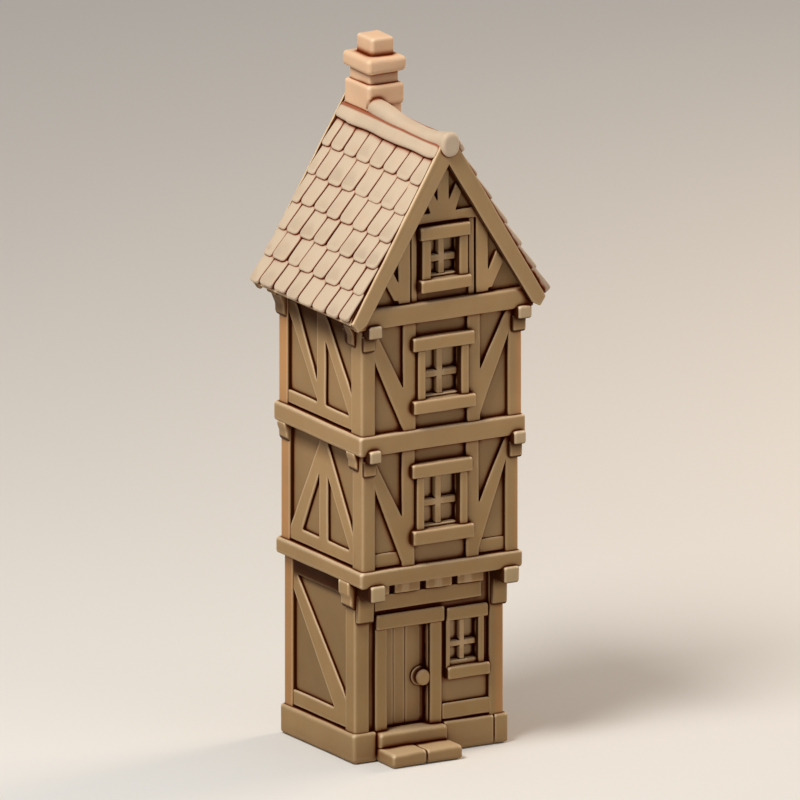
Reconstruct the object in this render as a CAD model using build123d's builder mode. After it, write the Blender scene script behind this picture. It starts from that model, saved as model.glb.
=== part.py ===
from build123d import *
import os

os.makedirs("parts", exist_ok=True)

# Narrow three-storey half timbered town house with an attic gable, a tabletop
# model at about 1:56.  Millimetres, +Z up, the door looks along -Y, and the
# origin is at the centre of the plinth footprint on the ground.

# ------------------------------------------------------------ dimensions
wall_t = 3.0                 # thickness of an infill wall

plinth_hx, plinth_hy, plinth_h = 29.8, 24.9, 10.2
plinth_t = 6.5

g_x, g_yf, g_yb = 28.75, -23.8, 23.8          # ground storey timber faces
g_z0, g_z1 = plinth_h, 62.4
g_rec = 1.45                                  # infill set back from timber

b1_x, b1_yf, b1_yb, b1_z0, b1_z1 = 31.2, -32.5, 25.35, 62.4, 68.15
m_x, m_yf, m_yb = 30.1, -31.4, 23.7           # middle storey timber faces
m_z0, m_z1 = b1_z1, 108.5
m_rec = 1.5

b2_x, b2_yf, b2_yb, b2_z0, b2_z1 = 32.0, -33.3, 25.35, 108.5, 115.35
u_x, u_yf, u_yb = 30.95, -32.25, 23.7         # upper storey timber faces
u_z0, u_z1 = b2_z1, 152.8
u_rec = 1.5

tie_z0, tie_z1 = 152.8, 159.7                 # tie beams under both gables
tie_yf, tie_yb = -34.9, 26.6
tie_yi, tie_yj = -28.9, 20.4               # inner faces of the tie beams
a_yf, a_yb = -33.3, 24.8                      # gable timber faces
a_rec = 1.4

eave_x, eave_z = 39.1, 158.0                  # lower edge of the tiles
top_x, top_z = 2.0, 214.6                     # upper edge of the tiles
low_x, low_z = 37.4, 155.4                    # underside at the eave
in_x, in_z = 2.0, 212.0                       # underside at the ridge
ridge_z0 = 210.8                              # underside of the ridge cap
roof_yf, roof_yb = -36.5, 30.0
barge_yf, barge_yb = -37.4, 30.8
barge_t, barge_w = 2.4, 6.6

door_x0, door_x1, door_z0, door_z1 = -16.1, 0.3, 10.2, 45.0


def underside(x):
    """Height of the roof's underside at a distance x from the ridge line."""
    return in_z + (low_z - in_z) * (abs(x) - in_x) / (low_x - in_x)


def tile_line(x):
    """Height of the tiled surface at a distance x from the ridge line."""
    return top_z + (eave_z - top_z) * (abs(x) - top_x) / (eave_x - top_x)


def board(a0, a1, z0, z1):
    """Upright or level board in the plane of the open sketch."""
    with Locations(((a0 + a1) / 2, (z0 + z1) / 2)):
        Rectangle(abs(a1 - a0), abs(z1 - z0))


def brace(*pts):
    """Slanting board in the plane of the open sketch."""
    Polygon(*pts, align=None)


def block(x0, x1, y0, y1, z0, z1, mode=Mode.ADD):
    """Plain block between two corners in the open part."""
    with BuildSketch(Plane.XY.offset(z0), mode=Mode.PRIVATE) as sk:
        with Locations(((x0 + x1) / 2, (y0 + y1) / 2)):
            Rectangle(abs(x1 - x0), abs(y1 - y0))
    extrude(sk.sketch, amount=z1 - z0, mode=mode)


def front_plane(y):
    return Plane(origin=(0, y, 0), x_dir=(1, 0, 0), z_dir=(0, -1, 0))


def side_plane(x):
    return Plane(origin=(x, 0, 0), x_dir=(0, 1, 0), z_dir=(1, 0, 0))


# ------------------------------------------------------------ plinth, floor, steps
with BuildPart() as plinth_sides:
    for s in (-1, 1):
        block(s * plinth_hx, s * (plinth_hx - plinth_t), -plinth_hy, plinth_hy, 0, plinth_h)
plinth_sides.part.label = "plinth_sides"

step_x0, step_x1 = -20.8, 5.4
with BuildPart() as plinth_ends:
    xi = plinth_hx - plinth_t
    block(-xi, step_x0, -plinth_hy, -plinth_hy + 6.0, 0, plinth_h)
    block(step_x1, xi, -plinth_hy, -plinth_hy + 6.0, 0, plinth_h)
    block(-xi, xi, plinth_hy - 6.0, plinth_hy, 0, plinth_h)
plinth_ends.part.label = "plinth_ends"

with BuildPart() as ground_floor:
    block(-xi, xi, -plinth_hy + 6.0, plinth_hy - 6.0, plinth_h - 3.0, plinth_h)
ground_floor.part.label = "ground_floor"

with BuildPart() as base_plate:
    block(-xi, xi, -plinth_hy + 6.0, plinth_hy - 6.0, 0, 2.5)
base_plate.part.label = "base_plate"

with BuildPart() as lower_step:
    block(-20.9, 6.1, -36.2, -plinth_hy, 0, 4.8)
    fillet(lower_step.edges().filter_by(Axis.Z).group_by(Axis.Y)[0], 1.2)
lower_step.part.label = "lower_step"

with BuildPart() as door_threshold:
    block(step_x0, step_x1, -plinth_hy, -plinth_hy + 6.0, 0, 9.8)
    block(step_x0, step_x1, -27.2, -plinth_hy, 4.8, 9.8)
door_threshold.part.label = "door_threshold"


# ------------------------------------------------------------ corner posts
with BuildPart() as corner_posts:
    for s in (-1, 1):
        block(s * g_x, s * 23.0, g_yf, -17.0, g_z0, g_z1)
        block(s * g_x, s * 23.0, 18.0, g_yb, g_z0, g_z1)
        block(s * m_x, s * 25.0, m_yf, -24.0, m_z0, m_z1)
        block(s * m_x, s * 25.0, 17.6, m_yb, m_z0, m_z1)
        block(s * u_x, s * 25.5, u_yf, -24.6, u_z0, u_z1)
        block(s * u_x, s * 25.5, 17.6, u_yb, u_z0, u_z1)
corner_posts.part.label = "corner_posts"


# ------------------------------------------------------------ infill walls
window_x0, window_x1, window_z0, window_z1 = 8.0, 19.0, 28.9, 44.6
with BuildPart() as ground_front_wall:
    block(-23.0, 23.0, g_yf + g_rec, g_yf + g_rec + wall_t, g_z0, g_z1)
    block(door_x0, door_x1, g_yf + g_rec, g_yf + g_rec + wall_t, door_z0, door_z1, Mode.SUBTRACT)
    block(window_x0, window_x1, g_yf + g_rec, g_yf + g_rec + wall_t, window_z0, window_z1, Mode.SUBTRACT)
ground_front_wall.part.label = "ground_front_wall"

win_hx = 7.0                                  # half width of an upper window opening
mw_z0, mw_z1 = 80.4, 98.4
uw_z0, uw_z1 = 125.6, 142.6
aw_hx, aw_z0, aw_z1 = 5.6, 167.5, 181.0

with BuildPart() as middle_front_wall:
    block(-25.0, 25.0, m_yf + m_rec, m_yf + m_rec + wall_t, m_z0, m_z1)
    block(-win_hx, win_hx, m_yf + m_rec, m_yf + m_rec + wall_t, mw_z0, mw_z1, Mode.SUBTRACT)
middle_front_wall.part.label = "middle_front_wall"

with BuildPart() as upper_front_wall:
    block(-25.5, 25.5, u_yf + u_rec, u_yf + u_rec + wall_t, u_z0, u_z1)
    block(-win_hx, win_hx, u_yf + u_rec, u_yf + u_rec + wall_t, uw_z0, uw_z1, Mode.SUBTRACT)
upper_front_wall.part.label = "upper_front_wall"

with BuildPart() as back_walls:
    block(-23.0, 23.0, g_yb - g_rec, g_yb - g_rec - wall_t, g_z0, g_z1)
    block(-25.0, 25.0, m_yb - m_rec, m_yb - m_rec - wall_t, m_z0, m_z1)
    block(-win_hx, win_hx, m_yb - m_rec, m_yb - m_rec - wall_t, mw_z0, mw_z1, Mode.SUBTRACT)
    block(-25.5, 25.5, u_yb - u_rec, u_yb - u_rec - wall_t, u_z0, u_z1)
    block(-win_hx, win_hx, u_yb - u_rec, u_yb - u_rec - wall_t, uw_z0, uw_z1, Mode.SUBTRACT)
back_walls.part.label = "back_walls"

with BuildPart() as ground_side_walls:
    for s in (-1, 1):
        block(s * (g_x - g_rec), s * (g_x - g_rec - wall_t), -17.0, 18.0, g_z0, g_z1)
ground_side_walls.part.label = "ground_side_walls"

with BuildPart() as middle_side_walls:
    for s in (-1, 1):
        block(s * (m_x - m_rec), s * (m_x - m_rec - wall_t), -24.0, 17.6, m_z0, m_z1)
middle_side_walls.part.label = "middle_side_walls"

with BuildPart() as upper_side_walls:
    for s in (-1, 1):
        block(s * (u_x - u_rec), s * (u_x - u_rec - wall_t), -24.6, 17.6, u_z0, u_z1)
upper_side_walls.part.label = "upper_side_walls"

# wall plates carry the rafters' feet above the side walls
with BuildPart() as wall_plates:
    with BuildSketch(front_plane(tie_yi)):
        for s in (-1, 1):
            brace((s * u_x, u_z1), (s * 25.0, u_z1), (s * 25.0, underside(25.0)),
                  (s * u_x, underside(u_x)))
    extrude(amount=-(tie_yj - tie_yi))
wall_plates.part.label = "wall_plates"


# ------------------------------------------------------------ floor decks with moulded band
with BuildPart() as middle_floor_band:
    block(-b1_x, b1_x, b1_yf, b1_yb, b1_z0, b1_z1)
    fillet(middle_floor_band.edges().filter_by(Axis.Z), 1.2)
middle_floor_band.part.label = "middle_floor_band"

with BuildPart() as upper_floor_band:
    block(-b2_x, b2_x, b2_yf, b2_yb, b2_z0, b2_z1)
    fillet(upper_floor_band.edges().filter_by(Axis.Z), 1.2)
upper_floor_band.part.label = "upper_floor_band"

with BuildPart() as joist_ends:
    for x0, x1 in ((-22.4, -16.0), (-14.0, -4.1), (-2.0, 8.2), (10.3, 20.5)):
        block(x0, x1, g_yf - 1.4, g_yf + g_rec, 57.2, g_z1)
joist_ends.part.label = "joist_ends"


# ------------------------------------------------------------ front timbers
with BuildPart() as ground_front_timbers:
    with BuildSketch(front_plane(g_yf + g_rec)):
        board(-21.2, 20.5, 51.5, 57.2)         # rail under the joists
        board(5.0, 20.5, 10.65, 16.3)          # rail at the foot
        board(20.5, 23.0, 10.65, 16.3)
    extrude(amount=g_rec - 0.2)
ground_front_timbers.part.label = "ground_front_timbers"

rail_rec = 0.5                                # the middle storey's foot rails stand only slightly proud


def middle_studs_and_braces():
    for s in (-1, 1):
        board(s * 9.9, s * 14.9, m_z0, m_z1)
    brace((-14.9, 69.7), (-25.0, 94.9), (-25.0, 105.5), (-14.9, 85.7))
    brace((14.9, 70.35), (25.0, 98.6), (25.0, 107.8), (14.9, 86.6))


def middle_foot_rails():
    for s in (-1, 1):
        board(s * 14.9, s * 25.0, 68.6, 73.5)


def upper_studs_and_braces():
    for s in (-1, 1):
        board(s * 9.9, s * 14.9, u_z0, u_z1)
    brace((-14.9, 115.75), (-25.5, 139.5), (-25.5, 151.3), (-14.9, 130.5))
    brace((14.9, 117.4), (25.5, 143.1), (25.5, 152.8), (14.9, 133.1))


with BuildPart() as middle_front_timbers:
    with BuildSketch(front_plane(m_yf + m_rec)):
        middle_studs_and_braces()
    extrude(amount=m_rec)
    with BuildSketch(front_plane(m_yf + m_rec)):
        middle_foot_rails()
    extrude(amount=rail_rec)
middle_front_timbers.part.label = "middle_front_timbers"

with BuildPart() as upper_front_timbers:
    with BuildSketch(front_plane(u_yf + u_rec)):
        upper_studs_and_braces()
    extrude(amount=u_rec)
upper_front_timbers.part.label = "upper_front_timbers"


# ------------------------------------------------------------ side timbers
with BuildPart() as ground_side_timbers:
    for s in (-1, 1):
        with BuildSketch(side_plane(s * (g_x - g_rec))):
            board(-17.0, 18.0, 10.65, 16.2)
            board(-17.0, 18.0, 56.5, g_z1)
            brace((18.0, 59.0), (-17.0, 21.3), (-17.0, 12.0), (-12.0, 12.0), (18.0, 50.5))
        extrude(amount=s * g_rec)
ground_side_timbers.part.label = "ground_side_timbers"

with BuildPart() as middle_side_timbers:
    for s in (-1, 1):
        with BuildSketch(side_plane(s * (m_x - m_rec))):
            board(-24.0, 17.6, 68.6, 73.6)
            board(-7.0, -1.2, 68.6, m_z1)
            brace((-1.2, 106.5), (-1.2, 95.5), (12.2, 69.2), (17.6, 69.2), (17.6, 74.0))
            brace((-7.0, 106.5), (-7.0, 95.5), (-21.5, 73.6), (-24.0, 73.6), (-24.0, 80.0))
        extrude(amount=s * m_rec)
middle_side_timbers.part.label = "middle_side_timbers"

with BuildPart() as upper_side_timbers:
    for s in (-1, 1):
        with BuildSketch(side_plane(s * (u_x - u_rec))):
            board(-24.6, 17.6, 115.8, 120.6)
            board(-6.9, -1.1, 115.8, u_z1)
            brace((17.6, 152.0), (13.0, 152.0), (-1.1, 128.0), (-1.1, 121.3), (17.6, 147.5))
            brace((-6.9, 152.0), (-24.6, 128.3), (-24.6, 117.7), (-6.9, 142.8))
        extrude(amount=s * u_rec)
upper_side_timbers.part.label = "upper_side_timbers"


# ------------------------------------------------------------ back timbers
with BuildPart() as back_timbers:
    with BuildSketch(front_plane(g_yb - g_rec)):
        board(-23.0, 23.0, 10.65, 16.2)
        board(-23.0, 23.0, 56.5, g_z1)
        board(-2.9, 2.9, 10.65, g_z1)
        for s in (-1, 1):
            brace((s * 2.9, 58.0), (s * 2.9, 47.0), (s * 19.0, 14.0), (s * 23.0, 14.0), (s * 23.0, 18.0))
    extrude(amount=-g_rec)
    with BuildSketch(front_plane(m_yb - m_rec)):
        middle_studs_and_braces()
    extrude(amount=-m_rec)
    with BuildSketch(front_plane(m_yb - m_rec)):
        middle_foot_rails()
    extrude(amount=-rail_rec)
    with BuildSketch(front_plane(u_yb - u_rec)):
        upper_studs_and_braces()
    extrude(amount=-u_rec)
back_timbers.part.label = "back_timbers"


# ------------------------------------------------------------ door
with BuildPart() as door_frame:
    block(-20.9, door_x0, g_yf, g_yf + g_rec, g_z0, door_z1)
    block(door_x1, 5.0, g_yf, g_yf + g_rec, g_z0, door_z1)
    block(-20.9, 5.7, g_yf - 0.8, g_yf + g_rec, door_z1, 50.3)
door_frame.part.label = "door_frame"

leaf_y = g_yf + g_rec + wall_t               # the leaf lies against the inside of the wall
with BuildPart() as door_leaf:
    block(door_x0 - 1.0, door_x1 + 1.0, leaf_y, leaf_y + 1.8, door_z0, door_z1 + 1.0)
door_leaf.part.label = "door_leaf"

knob_x, knob_z = -1.5, 26.1
with BuildPart() as door_knob:
    with BuildSketch(front_plane(leaf_y)):
        with Locations((knob_x, knob_z)):
            Circle(3.4)
    extrude(amount=0.9)
    with BuildSketch(front_plane(leaf_y - 0.9)):
        with Locations((knob_x, knob_z)):
            Circle(1.7)
    extrude(amount=1.3)
    with BuildSketch(front_plane(leaf_y - 2.2)):
        with Locations((knob_x, knob_z)):
            Circle(2.7)
    extrude(amount=2.0)
    fillet(door_knob.edges().filter_by(GeomType.CIRCLE).group_by(Axis.Y)[0], 0.7)
    # the rosette is cut off where it meets the jamb
    block(door_x1, door_x1 + 6.0, -26.0, leaf_y, 18.0, 36.0, Mode.SUBTRACT)
door_knob.part.label = "door_knob"


# ------------------------------------------------------------ windows
def window_frame(cx, hx, cw, z0, z1, lint, sill, over, y, out):
    """Casings, lintel and sill around one opening; out is -1 at the front, +1 at the back."""
    f = out
    block(cx - hx - cw, cx - hx, y, y + f * 2.8, z0, z1)
    block(cx + hx, cx + hx + cw, y, y + f * 2.8, z0, z1)
    block(cx - over, cx + over, y, y + f * 3.6, z1, z1 + lint)
    block(cx - over, cx + over, y, y + f * 4.1, z0 - sill, z0)


with BuildPart() as front_window_frames:
    y = g_yf + g_rec
    block(6.4, 8.0, y, g_yf - 0.2, window_z0, window_z1)
    block(19.0, 21.2, y, g_yf - 0.2, window_z0, window_z1)
    block(6.4, 22.6, y, g_yf - 0.6, window_z1, 49.3)
    block(6.4, 22.9, y, g_yf - 1.6, 24.6, window_z0)
    window_frame(0, win_hx, 3.2, mw_z0, mw_z1, 4.8, 5.0, 11.9, m_yf + m_rec, -1)
    window_frame(0, win_hx, 3.2, uw_z0, uw_z1, 4.7, 4.6, 12.1, u_yf + u_rec, -1)
    window_frame(0, aw_hx, 3.3, aw_z0, aw_z1, 4.6, 4.4, 9.9, a_yf + a_rec, -1)
    add(middle_front_timbers.part, mode=Mode.SUBTRACT)
    add(upper_front_timbers.part, mode=Mode.SUBTRACT)
front_window_frames.part.label = "front_window_frames"

with BuildPart() as back_window_frames:
    window_frame(0, win_hx, 3.2, mw_z0, mw_z1, 4.8, 5.0, 11.9, m_yb - m_rec, 1)
    window_frame(0, win_hx, 3.2, uw_z0, uw_z1, 4.7, 4.6, 12.1, u_yb - u_rec, 1)
    window_frame(0, aw_hx, 3.3, aw_z0, aw_z1, 4.6, 4.4, 9.9, a_yb - a_rec, 1)
    add(back_timbers.part, mode=Mode.SUBTRACT)
back_window_frames.part.label = "back_window_frames"

pane_t = 1.0
with BuildPart() as window_panes:
    block(window_x0, window_x1, -19.9, -19.9 + pane_t, window_z0, window_z1)
    block(-win_hx, win_hx, -27.4, -27.4 + pane_t, mw_z0, mw_z1)
    block(-win_hx, win_hx, -28.3, -28.3 + pane_t, uw_z0, uw_z1)
    block(-aw_hx, aw_hx, -29.4, -29.4 + pane_t, aw_z0, aw_z1)
    block(-win_hx, win_hx, 19.7, 19.7 - pane_t, mw_z0, mw_z1)
    block(-win_hx, win_hx, 19.7, 19.7 - pane_t, uw_z0, uw_z1)
    block(-aw_hx, aw_hx, 20.9, 20.9 - pane_t, aw_z0, aw_z1)
window_panes.part.label = "window_panes"


# ------------------------------------------------------------ brackets under the overhangs
with BuildPart() as front_brackets:
    # ground storey: corbel and long beam end under the deep overhang
    block(-28.75, -22.4, g_yf, -26.3, 48.3, 57.6)
    block(29.1, 23.4, g_yf, -26.3, 48.3, 57.6)
    block(-28.4, -22.6, g_yf, b1_yf, 57.6, b1_z0)
    block(-28.4, -22.6, b1_yf, -34.1, 57.6, 63.3)
    block(29.1, 23.2, g_yf, b1_yf, 57.6, b1_z0)
    block(29.1, 23.2, b1_yf, -34.1, 57.6, 63.3)
    # middle storey
    block(-30.6, -25.4, m_yf, -32.9, 101.0, 106.1)
    block(-29.5, -24.8, m_yf, b2_yf, 106.1, b2_z0)
    block(-29.5, -24.8, b2_yf, -35.4, 106.1, 110.6)
    block(31.0, 25.9, m_yf, -32.9, 100.6, 105.7)
    block(31.0, 26.2, m_yf, b2_yf, 105.7, b2_z0)
    block(31.0, 26.2, b2_yf, -35.4, 105.7, 110.2)
    # upper storey
    block(-31.3, -26.3, u_yf, -33.9, 144.6, 149.8)
    block(-30.5, -25.2, u_yf, tie_yf, 149.8, tie_z0)
    block(-30.5, -25.2, tie_yf, -36.7, 149.8, 154.3)
    block(31.9, 26.6, u_yf, -33.9, 144.3, 149.4)
    block(32.5, 27.2, u_yf, tie_yf, 149.4, tie_z0)
    block(32.5, 27.2, tie_yf, -36.7, 149.4, 153.9)
front_brackets.part.label = "front_brackets"

# scrolled corbels under the side overhangs; the outlines are (outward, down)
ground_scroll = ((0, 0), (2.5, 0), (2.5, -4.0), (1.6, -5.2), (1.5, -8.0), (0.5, -9.2), (0, -9.2))
middle_scroll = ((0, 0), (1.9, 0), (1.6, -1.5), (1.0, -2.8), (0.95, -5.0), (0.3, -6.2), (0, -6.4))
upper_scroll = ((0, 0), (3.0, 0), (2.1, -1.6), (1.35, -3.2), (1.25, -6.0), (0.5, -7.3), (0, -7.6))


def scroll(s, x, y0, y1, z, outline):
    """Corbel on the side face at x between y0 and y1, hanging from the height z."""
    with BuildSketch(front_plane(y0), mode=Mode.PRIVATE) as sk:
        brace(*[(s * (x + a), z + b) for a, b in outline])
    extrude(sk.sketch, amount=-(y1 - y0))


with BuildPart() as side_brackets:
    for s in (-1, 1):
        scroll(s, g_x, g_yf, -17.2, g_z1, ground_scroll)
        for y0, y1 in ((-28.6, -23.4), (17.8, 23.0)):
            scroll(s, m_x, y0, y1, m_z1, middle_scroll)
        for y0, y1 in ((-28.2, -22.8), (18.2, 23.6)):
            scroll(s, u_x, y0, y1, u_z1, upper_scroll)
side_brackets.part.label = "side_brackets"


# ------------------------------------------------------------ gables
with BuildPart() as tie_beams:
    for y0, y1 in ((tie_yf, tie_yi), (tie_yb, tie_yj)):
        block(-34.0, 34.0, y0, y1, tie_z0, tie_z1)
    # clear of the roof's underside
    for s in (-1, 1):
        with BuildSketch(front_plane(-40)):
            brace((s * (low_x + 1), low_z - 1.599), (s * 20, underside(20)), (s * 60, underside(20)),
                  (s * 60, low_z - 1.599))
        extrude(amount=-80, mode=Mode.SUBTRACT)
tie_beams.part.label = "tie_beams"


def gable_outline():
    """Triangle between the tie beam and the roof's underside."""
    x0 = in_x + (tie_z1 - in_z) * (low_x - in_x) / (low_z - in_z)
    x1 = in_x + (ridge_z0 - in_z) * (low_x - in_x) / (low_z - in_z)
    Polygon((-x0, tie_z1), (x0, tie_z1), (x1, ridge_z0), (-x1, ridge_z0), align=None)


with BuildPart() as gable_walls:
    for y, inward in ((a_yf + a_rec, -wall_t), (a_yb - a_rec, wall_t)):
        with BuildSketch(front_plane(y)):
            gable_outline()
            with Locations((0, (aw_z0 + aw_z1) / 2)):
                Rectangle(2 * aw_hx, aw_z1 - aw_z0, mode=Mode.SUBTRACT)
        extrude(amount=inward)
gable_walls.part.label = "gable_walls"


def gable_framing():
    for s in (-1, 1):
        board(s * 12.7, s * 17.4, tie_z1, 186.3)
        brace((s * 17.3, 161.0), (s * 18.8, 161.0), (s * 23.5, 169.8), (s * 20.6, 173.8), (s * 17.3, 167.3))
        brace((s * 2.0, 189.8), (s * 4.9, 189.8), (s * 7.1, 195.8), (s * 5.0, 199.3), (s * 2.2, 193.8))
    board(-15.4, 15.4, 186.3, 189.8)
    board(-2.25, 2.25, 189.8, 207.0)


with BuildPart() as gable_timbers:
    for y, outward in ((a_yf + a_rec, a_rec), (a_yb - a_rec, -a_rec)):
        with BuildSketch(front_plane(y)):
            gable_framing()
        extrude(amount=outward)
        # thin strips between the studs and the attic window
        with BuildSketch(front_plane(y)):
            for s in (-1, 1):
                board(s * 9.9, s * 12.2, tie_z1, 186.3)
        extrude(amount=0.62 * outward)
gable_timbers.part.label = "gable_timbers"


# ------------------------------------------------------------ roof
def slope(s):
    Polygon((s * eave_x, eave_z), (s * top_x, top_z), (s * in_x, in_z), (s * low_x, low_z), align=None)


with BuildPart() as left_roof_slope:
    with BuildSketch(front_plane(roof_yf)):
        slope(-1)
    extrude(amount=-(roof_yb - roof_yf))
left_roof_slope.part.label = "left_roof_slope"

with BuildPart() as right_roof_slope:
    with BuildSketch(front_plane(roof_yf)):
        slope(1)
    extrude(amount=-(roof_yb - roof_yf))
right_roof_slope.part.label = "right_roof_slope"

def barge(s):
    """Board that covers the ends of the tiles; its lower corner is cut square."""
    Polygon((0, 217.5), (s * 0.9, 217.5), (s * 37.5, 156.5), (s * 35.3, 153.3), (s * 31.8, 155.4), (0, 208.2), align=None)


def barge_web(s):
    """The part of the same board below the underside of the slope."""
    Polygon((0, underside(0)), (s * 37.0, underside(37.0)), (s * 35.3, 153.3), (s * 31.8, 155.4), (0, 208.2), align=None)


def barge_pair(s):
    for y, face, web in ((barge_yf, roof_yf - barge_yf, barge_t), (barge_yb, roof_yb - barge_yb, -barge_t)):
        with BuildSketch(front_plane(y), mode=Mode.PRIVATE) as sk:
            barge(s)
        extrude(sk.sketch, amount=-face)
        with BuildSketch(front_plane(y), mode=Mode.PRIVATE) as sk:
            barge_web(s)
        extrude(sk.sketch, amount=-web)


with BuildPart() as left_barge_boards:
    barge_pair(-1)
left_barge_boards.part.label = "left_barge_boards"

with BuildPart() as right_barge_boards:
    barge_pair(1)
right_barge_boards.part.label = "right_barge_boards"

# the slopes lie on top of the webs; the ridge roll stops under the chimney
chim_x, chim_y = 3.8, 19.7                    # the stack stands behind the crest, on the right slope
shaft_x0, shaft_x1, shaft_y0, shaft_y1, shaft_z1 = -2.8, 10.3, 12.0, 27.4, 215.55
collar_hx, collar_hy = 7.0, 8.4
with BuildPart() as ridge_cap:
    with BuildSketch(front_plane(-39.0)):
        with Locations((0, 214.9)):
            Circle(3.5)
    extrude(amount=-(39.0 + shaft_y1))
    with BuildSketch(front_plane(-39.0)):
        for s in (-1, 1):
            brace((0, tile_line(0) + 1.2), (0, tile_line(0) - 2.0), (s * 5.6, tile_line(5.6) - 2.0),
                  (s * 6.6, tile_line(5.6) + 0.9))
        with Locations((0, ridge_z0 + 1.6)):
            Rectangle(2 * top_x, 3.2)
    extrude(amount=-70.0)
    add(left_roof_slope.part, mode=Mode.SUBTRACT)
    add(right_roof_slope.part, mode=Mode.SUBTRACT)
    add(left_barge_boards.part, mode=Mode.SUBTRACT)
    add(right_barge_boards.part, mode=Mode.SUBTRACT)
    block(shaft_x0, 20, shaft_y0, shaft_y1, 190, 240, Mode.SUBTRACT)
    block(chim_x - collar_hx, chim_x + collar_hx, chim_y - collar_hy, chim_y + collar_hy, shaft_z1, 240, Mode.SUBTRACT)
    # nothing hangs below the slopes' underside in front of or behind the verges
    block(-20, 20, -60, barge_yf, 190, 211.0, Mode.SUBTRACT)
    block(-20, 20, barge_yb, 60, 190, 211.0, Mode.SUBTRACT)
ridge_cap.part.label = "ridge_cap"


# ------------------------------------------------------------ chimney
with BuildPart() as chimney_shaft:
    # its foot is cut to both slopes and plugs the gap between them
    with BuildSketch(front_plane(shaft_y0)):
        brace((shaft_x0, shaft_z1), (shaft_x1, shaft_z1), (shaft_x1, tile_line(shaft_x1)), (top_x, top_z),
              (top_x, ridge_z0), (-top_x, ridge_z0), (-top_x, top_z), (shaft_x0, tile_line(shaft_x0)))
    extrude(amount=-(shaft_y1 - shaft_y0))
chimney_shaft.part.label = "chimney_shaft"


def stack(hx, hy, z0, z1, dx=0.0):
    """One course of the stack, centred on it."""
    block(chim_x + dx - hx, chim_x + dx + hx, chim_y - hy, chim_y + hy, z0, z1)


with BuildPart() as chimney_collar:
    stack(collar_hx, collar_hy, shaft_z1, 223.05)
    fillet(chimney_collar.edges(), 0.7)
chimney_collar.part.label = "chimney_collar"

with BuildPart() as chimney_neck:
    stack(5.7, 6.7, 223.05, 226.95)
chimney_neck.part.label = "chimney_neck"

with BuildPart() as chimney_cap:
    stack(7.5, 9.2, 226.95, 232.35)
    fillet(chimney_cap.edges(), 0.8)
chimney_cap.part.label = "chimney_cap"

with BuildPart() as chimney_top:
    stack(4.3, 5.4, 232.35, 238.6, 0.35)
    fillet(chimney_top.edges().group_by(Axis.Z)[-1], 0.8)
chimney_top.part.label = "chimney_top"


# ------------------------------------------------------------ write the parts
pieces = [plinth_sides, plinth_ends, base_plate, ground_floor, lower_step, door_threshold, corner_posts,
          ground_front_wall, middle_front_wall, upper_front_wall, back_walls,
          ground_side_walls, middle_side_walls, upper_side_walls, wall_plates,
          middle_floor_band, upper_floor_band, joist_ends,
          ground_front_timbers, middle_front_timbers, upper_front_timbers,
          ground_side_timbers, middle_side_timbers, upper_side_timbers, back_timbers,
          door_frame, door_leaf, door_knob, front_window_frames, back_window_frames, window_panes,
          front_brackets, side_brackets, tie_beams, gable_walls, gable_timbers, left_roof_slope, right_roof_slope,
          left_barge_boards, right_barge_boards, ridge_cap, chimney_shaft, chimney_collar, chimney_neck,
          chimney_cap, chimney_top]
for piece in pieces:
    export_step(piece.part, "parts/" + piece.part.label + ".step")
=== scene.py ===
import math
import random

import bpy
import numpy as np
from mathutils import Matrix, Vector, noise
from mathutils.geometry import delaunay_2d_cdt


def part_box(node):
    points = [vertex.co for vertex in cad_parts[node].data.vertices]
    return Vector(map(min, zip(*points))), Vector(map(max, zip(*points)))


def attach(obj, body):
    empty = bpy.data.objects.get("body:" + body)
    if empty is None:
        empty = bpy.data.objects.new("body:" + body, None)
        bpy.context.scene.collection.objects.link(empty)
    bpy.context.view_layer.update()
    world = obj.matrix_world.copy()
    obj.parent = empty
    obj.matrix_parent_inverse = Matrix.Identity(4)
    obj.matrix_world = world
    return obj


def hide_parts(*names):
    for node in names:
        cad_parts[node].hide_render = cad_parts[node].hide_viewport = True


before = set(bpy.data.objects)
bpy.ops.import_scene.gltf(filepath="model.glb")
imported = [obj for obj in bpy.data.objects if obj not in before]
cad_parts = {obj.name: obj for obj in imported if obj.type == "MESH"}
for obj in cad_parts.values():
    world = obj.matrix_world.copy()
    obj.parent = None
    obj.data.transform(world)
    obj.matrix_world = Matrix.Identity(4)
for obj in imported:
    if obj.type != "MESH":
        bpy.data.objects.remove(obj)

# Half timbered town house, a tabletop model.  Shapes are worked in millimetres
# in the frame of the CAD model and turned into metres when a mesh is made.
MM = 0.001
RNG = random.Random(20)
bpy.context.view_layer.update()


# ---------------------------------------------------------------- reading the frame
def box(node):
    lo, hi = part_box(node)
    return [c * 1000 for c in lo], [c * 1000 for c in hi]


def solids(node):
    """Each separate solid of a CAD node as (points in mm, triangles)."""
    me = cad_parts[node].data
    me.calc_loop_triangles()
    co = np.array([v.co for v in me.vertices]) * 1000.0
    tri = np.array([t.vertices[:] for t in me.loop_triangles])
    key = np.round(co, 2)
    uniq, first, inv = np.unique(key, axis=0, return_index=True, return_inverse=True)
    inv = inv.reshape(-1)
    tri = inv[tri]
    parent = list(range(len(uniq)))

    def find(i):
        while parent[i] != i:
            parent[i] = parent[parent[i]]
            i = parent[i]
        return i

    for a, b, c in tri:
        ra, rb, rc = find(a), find(b), find(c)
        parent[rb] = ra
        parent[find(c)] = find(a)
    root = np.array([find(i) for i in range(len(uniq))])
    out = []
    for r in sorted(set(root[tri[:, 0]])):
        out.append((uniq, tri[root[tri[:, 0]] == r]))
    out = [(u, t, u[np.unique(t)]) for u, t in out]
    out.sort(key=lambda s: tuple(np.round(s[2].min(0)[[2, 0, 1]], 1)))
    return out


def span(solid):
    p = solid[2]
    return p.min(0), p.max(0)


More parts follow.
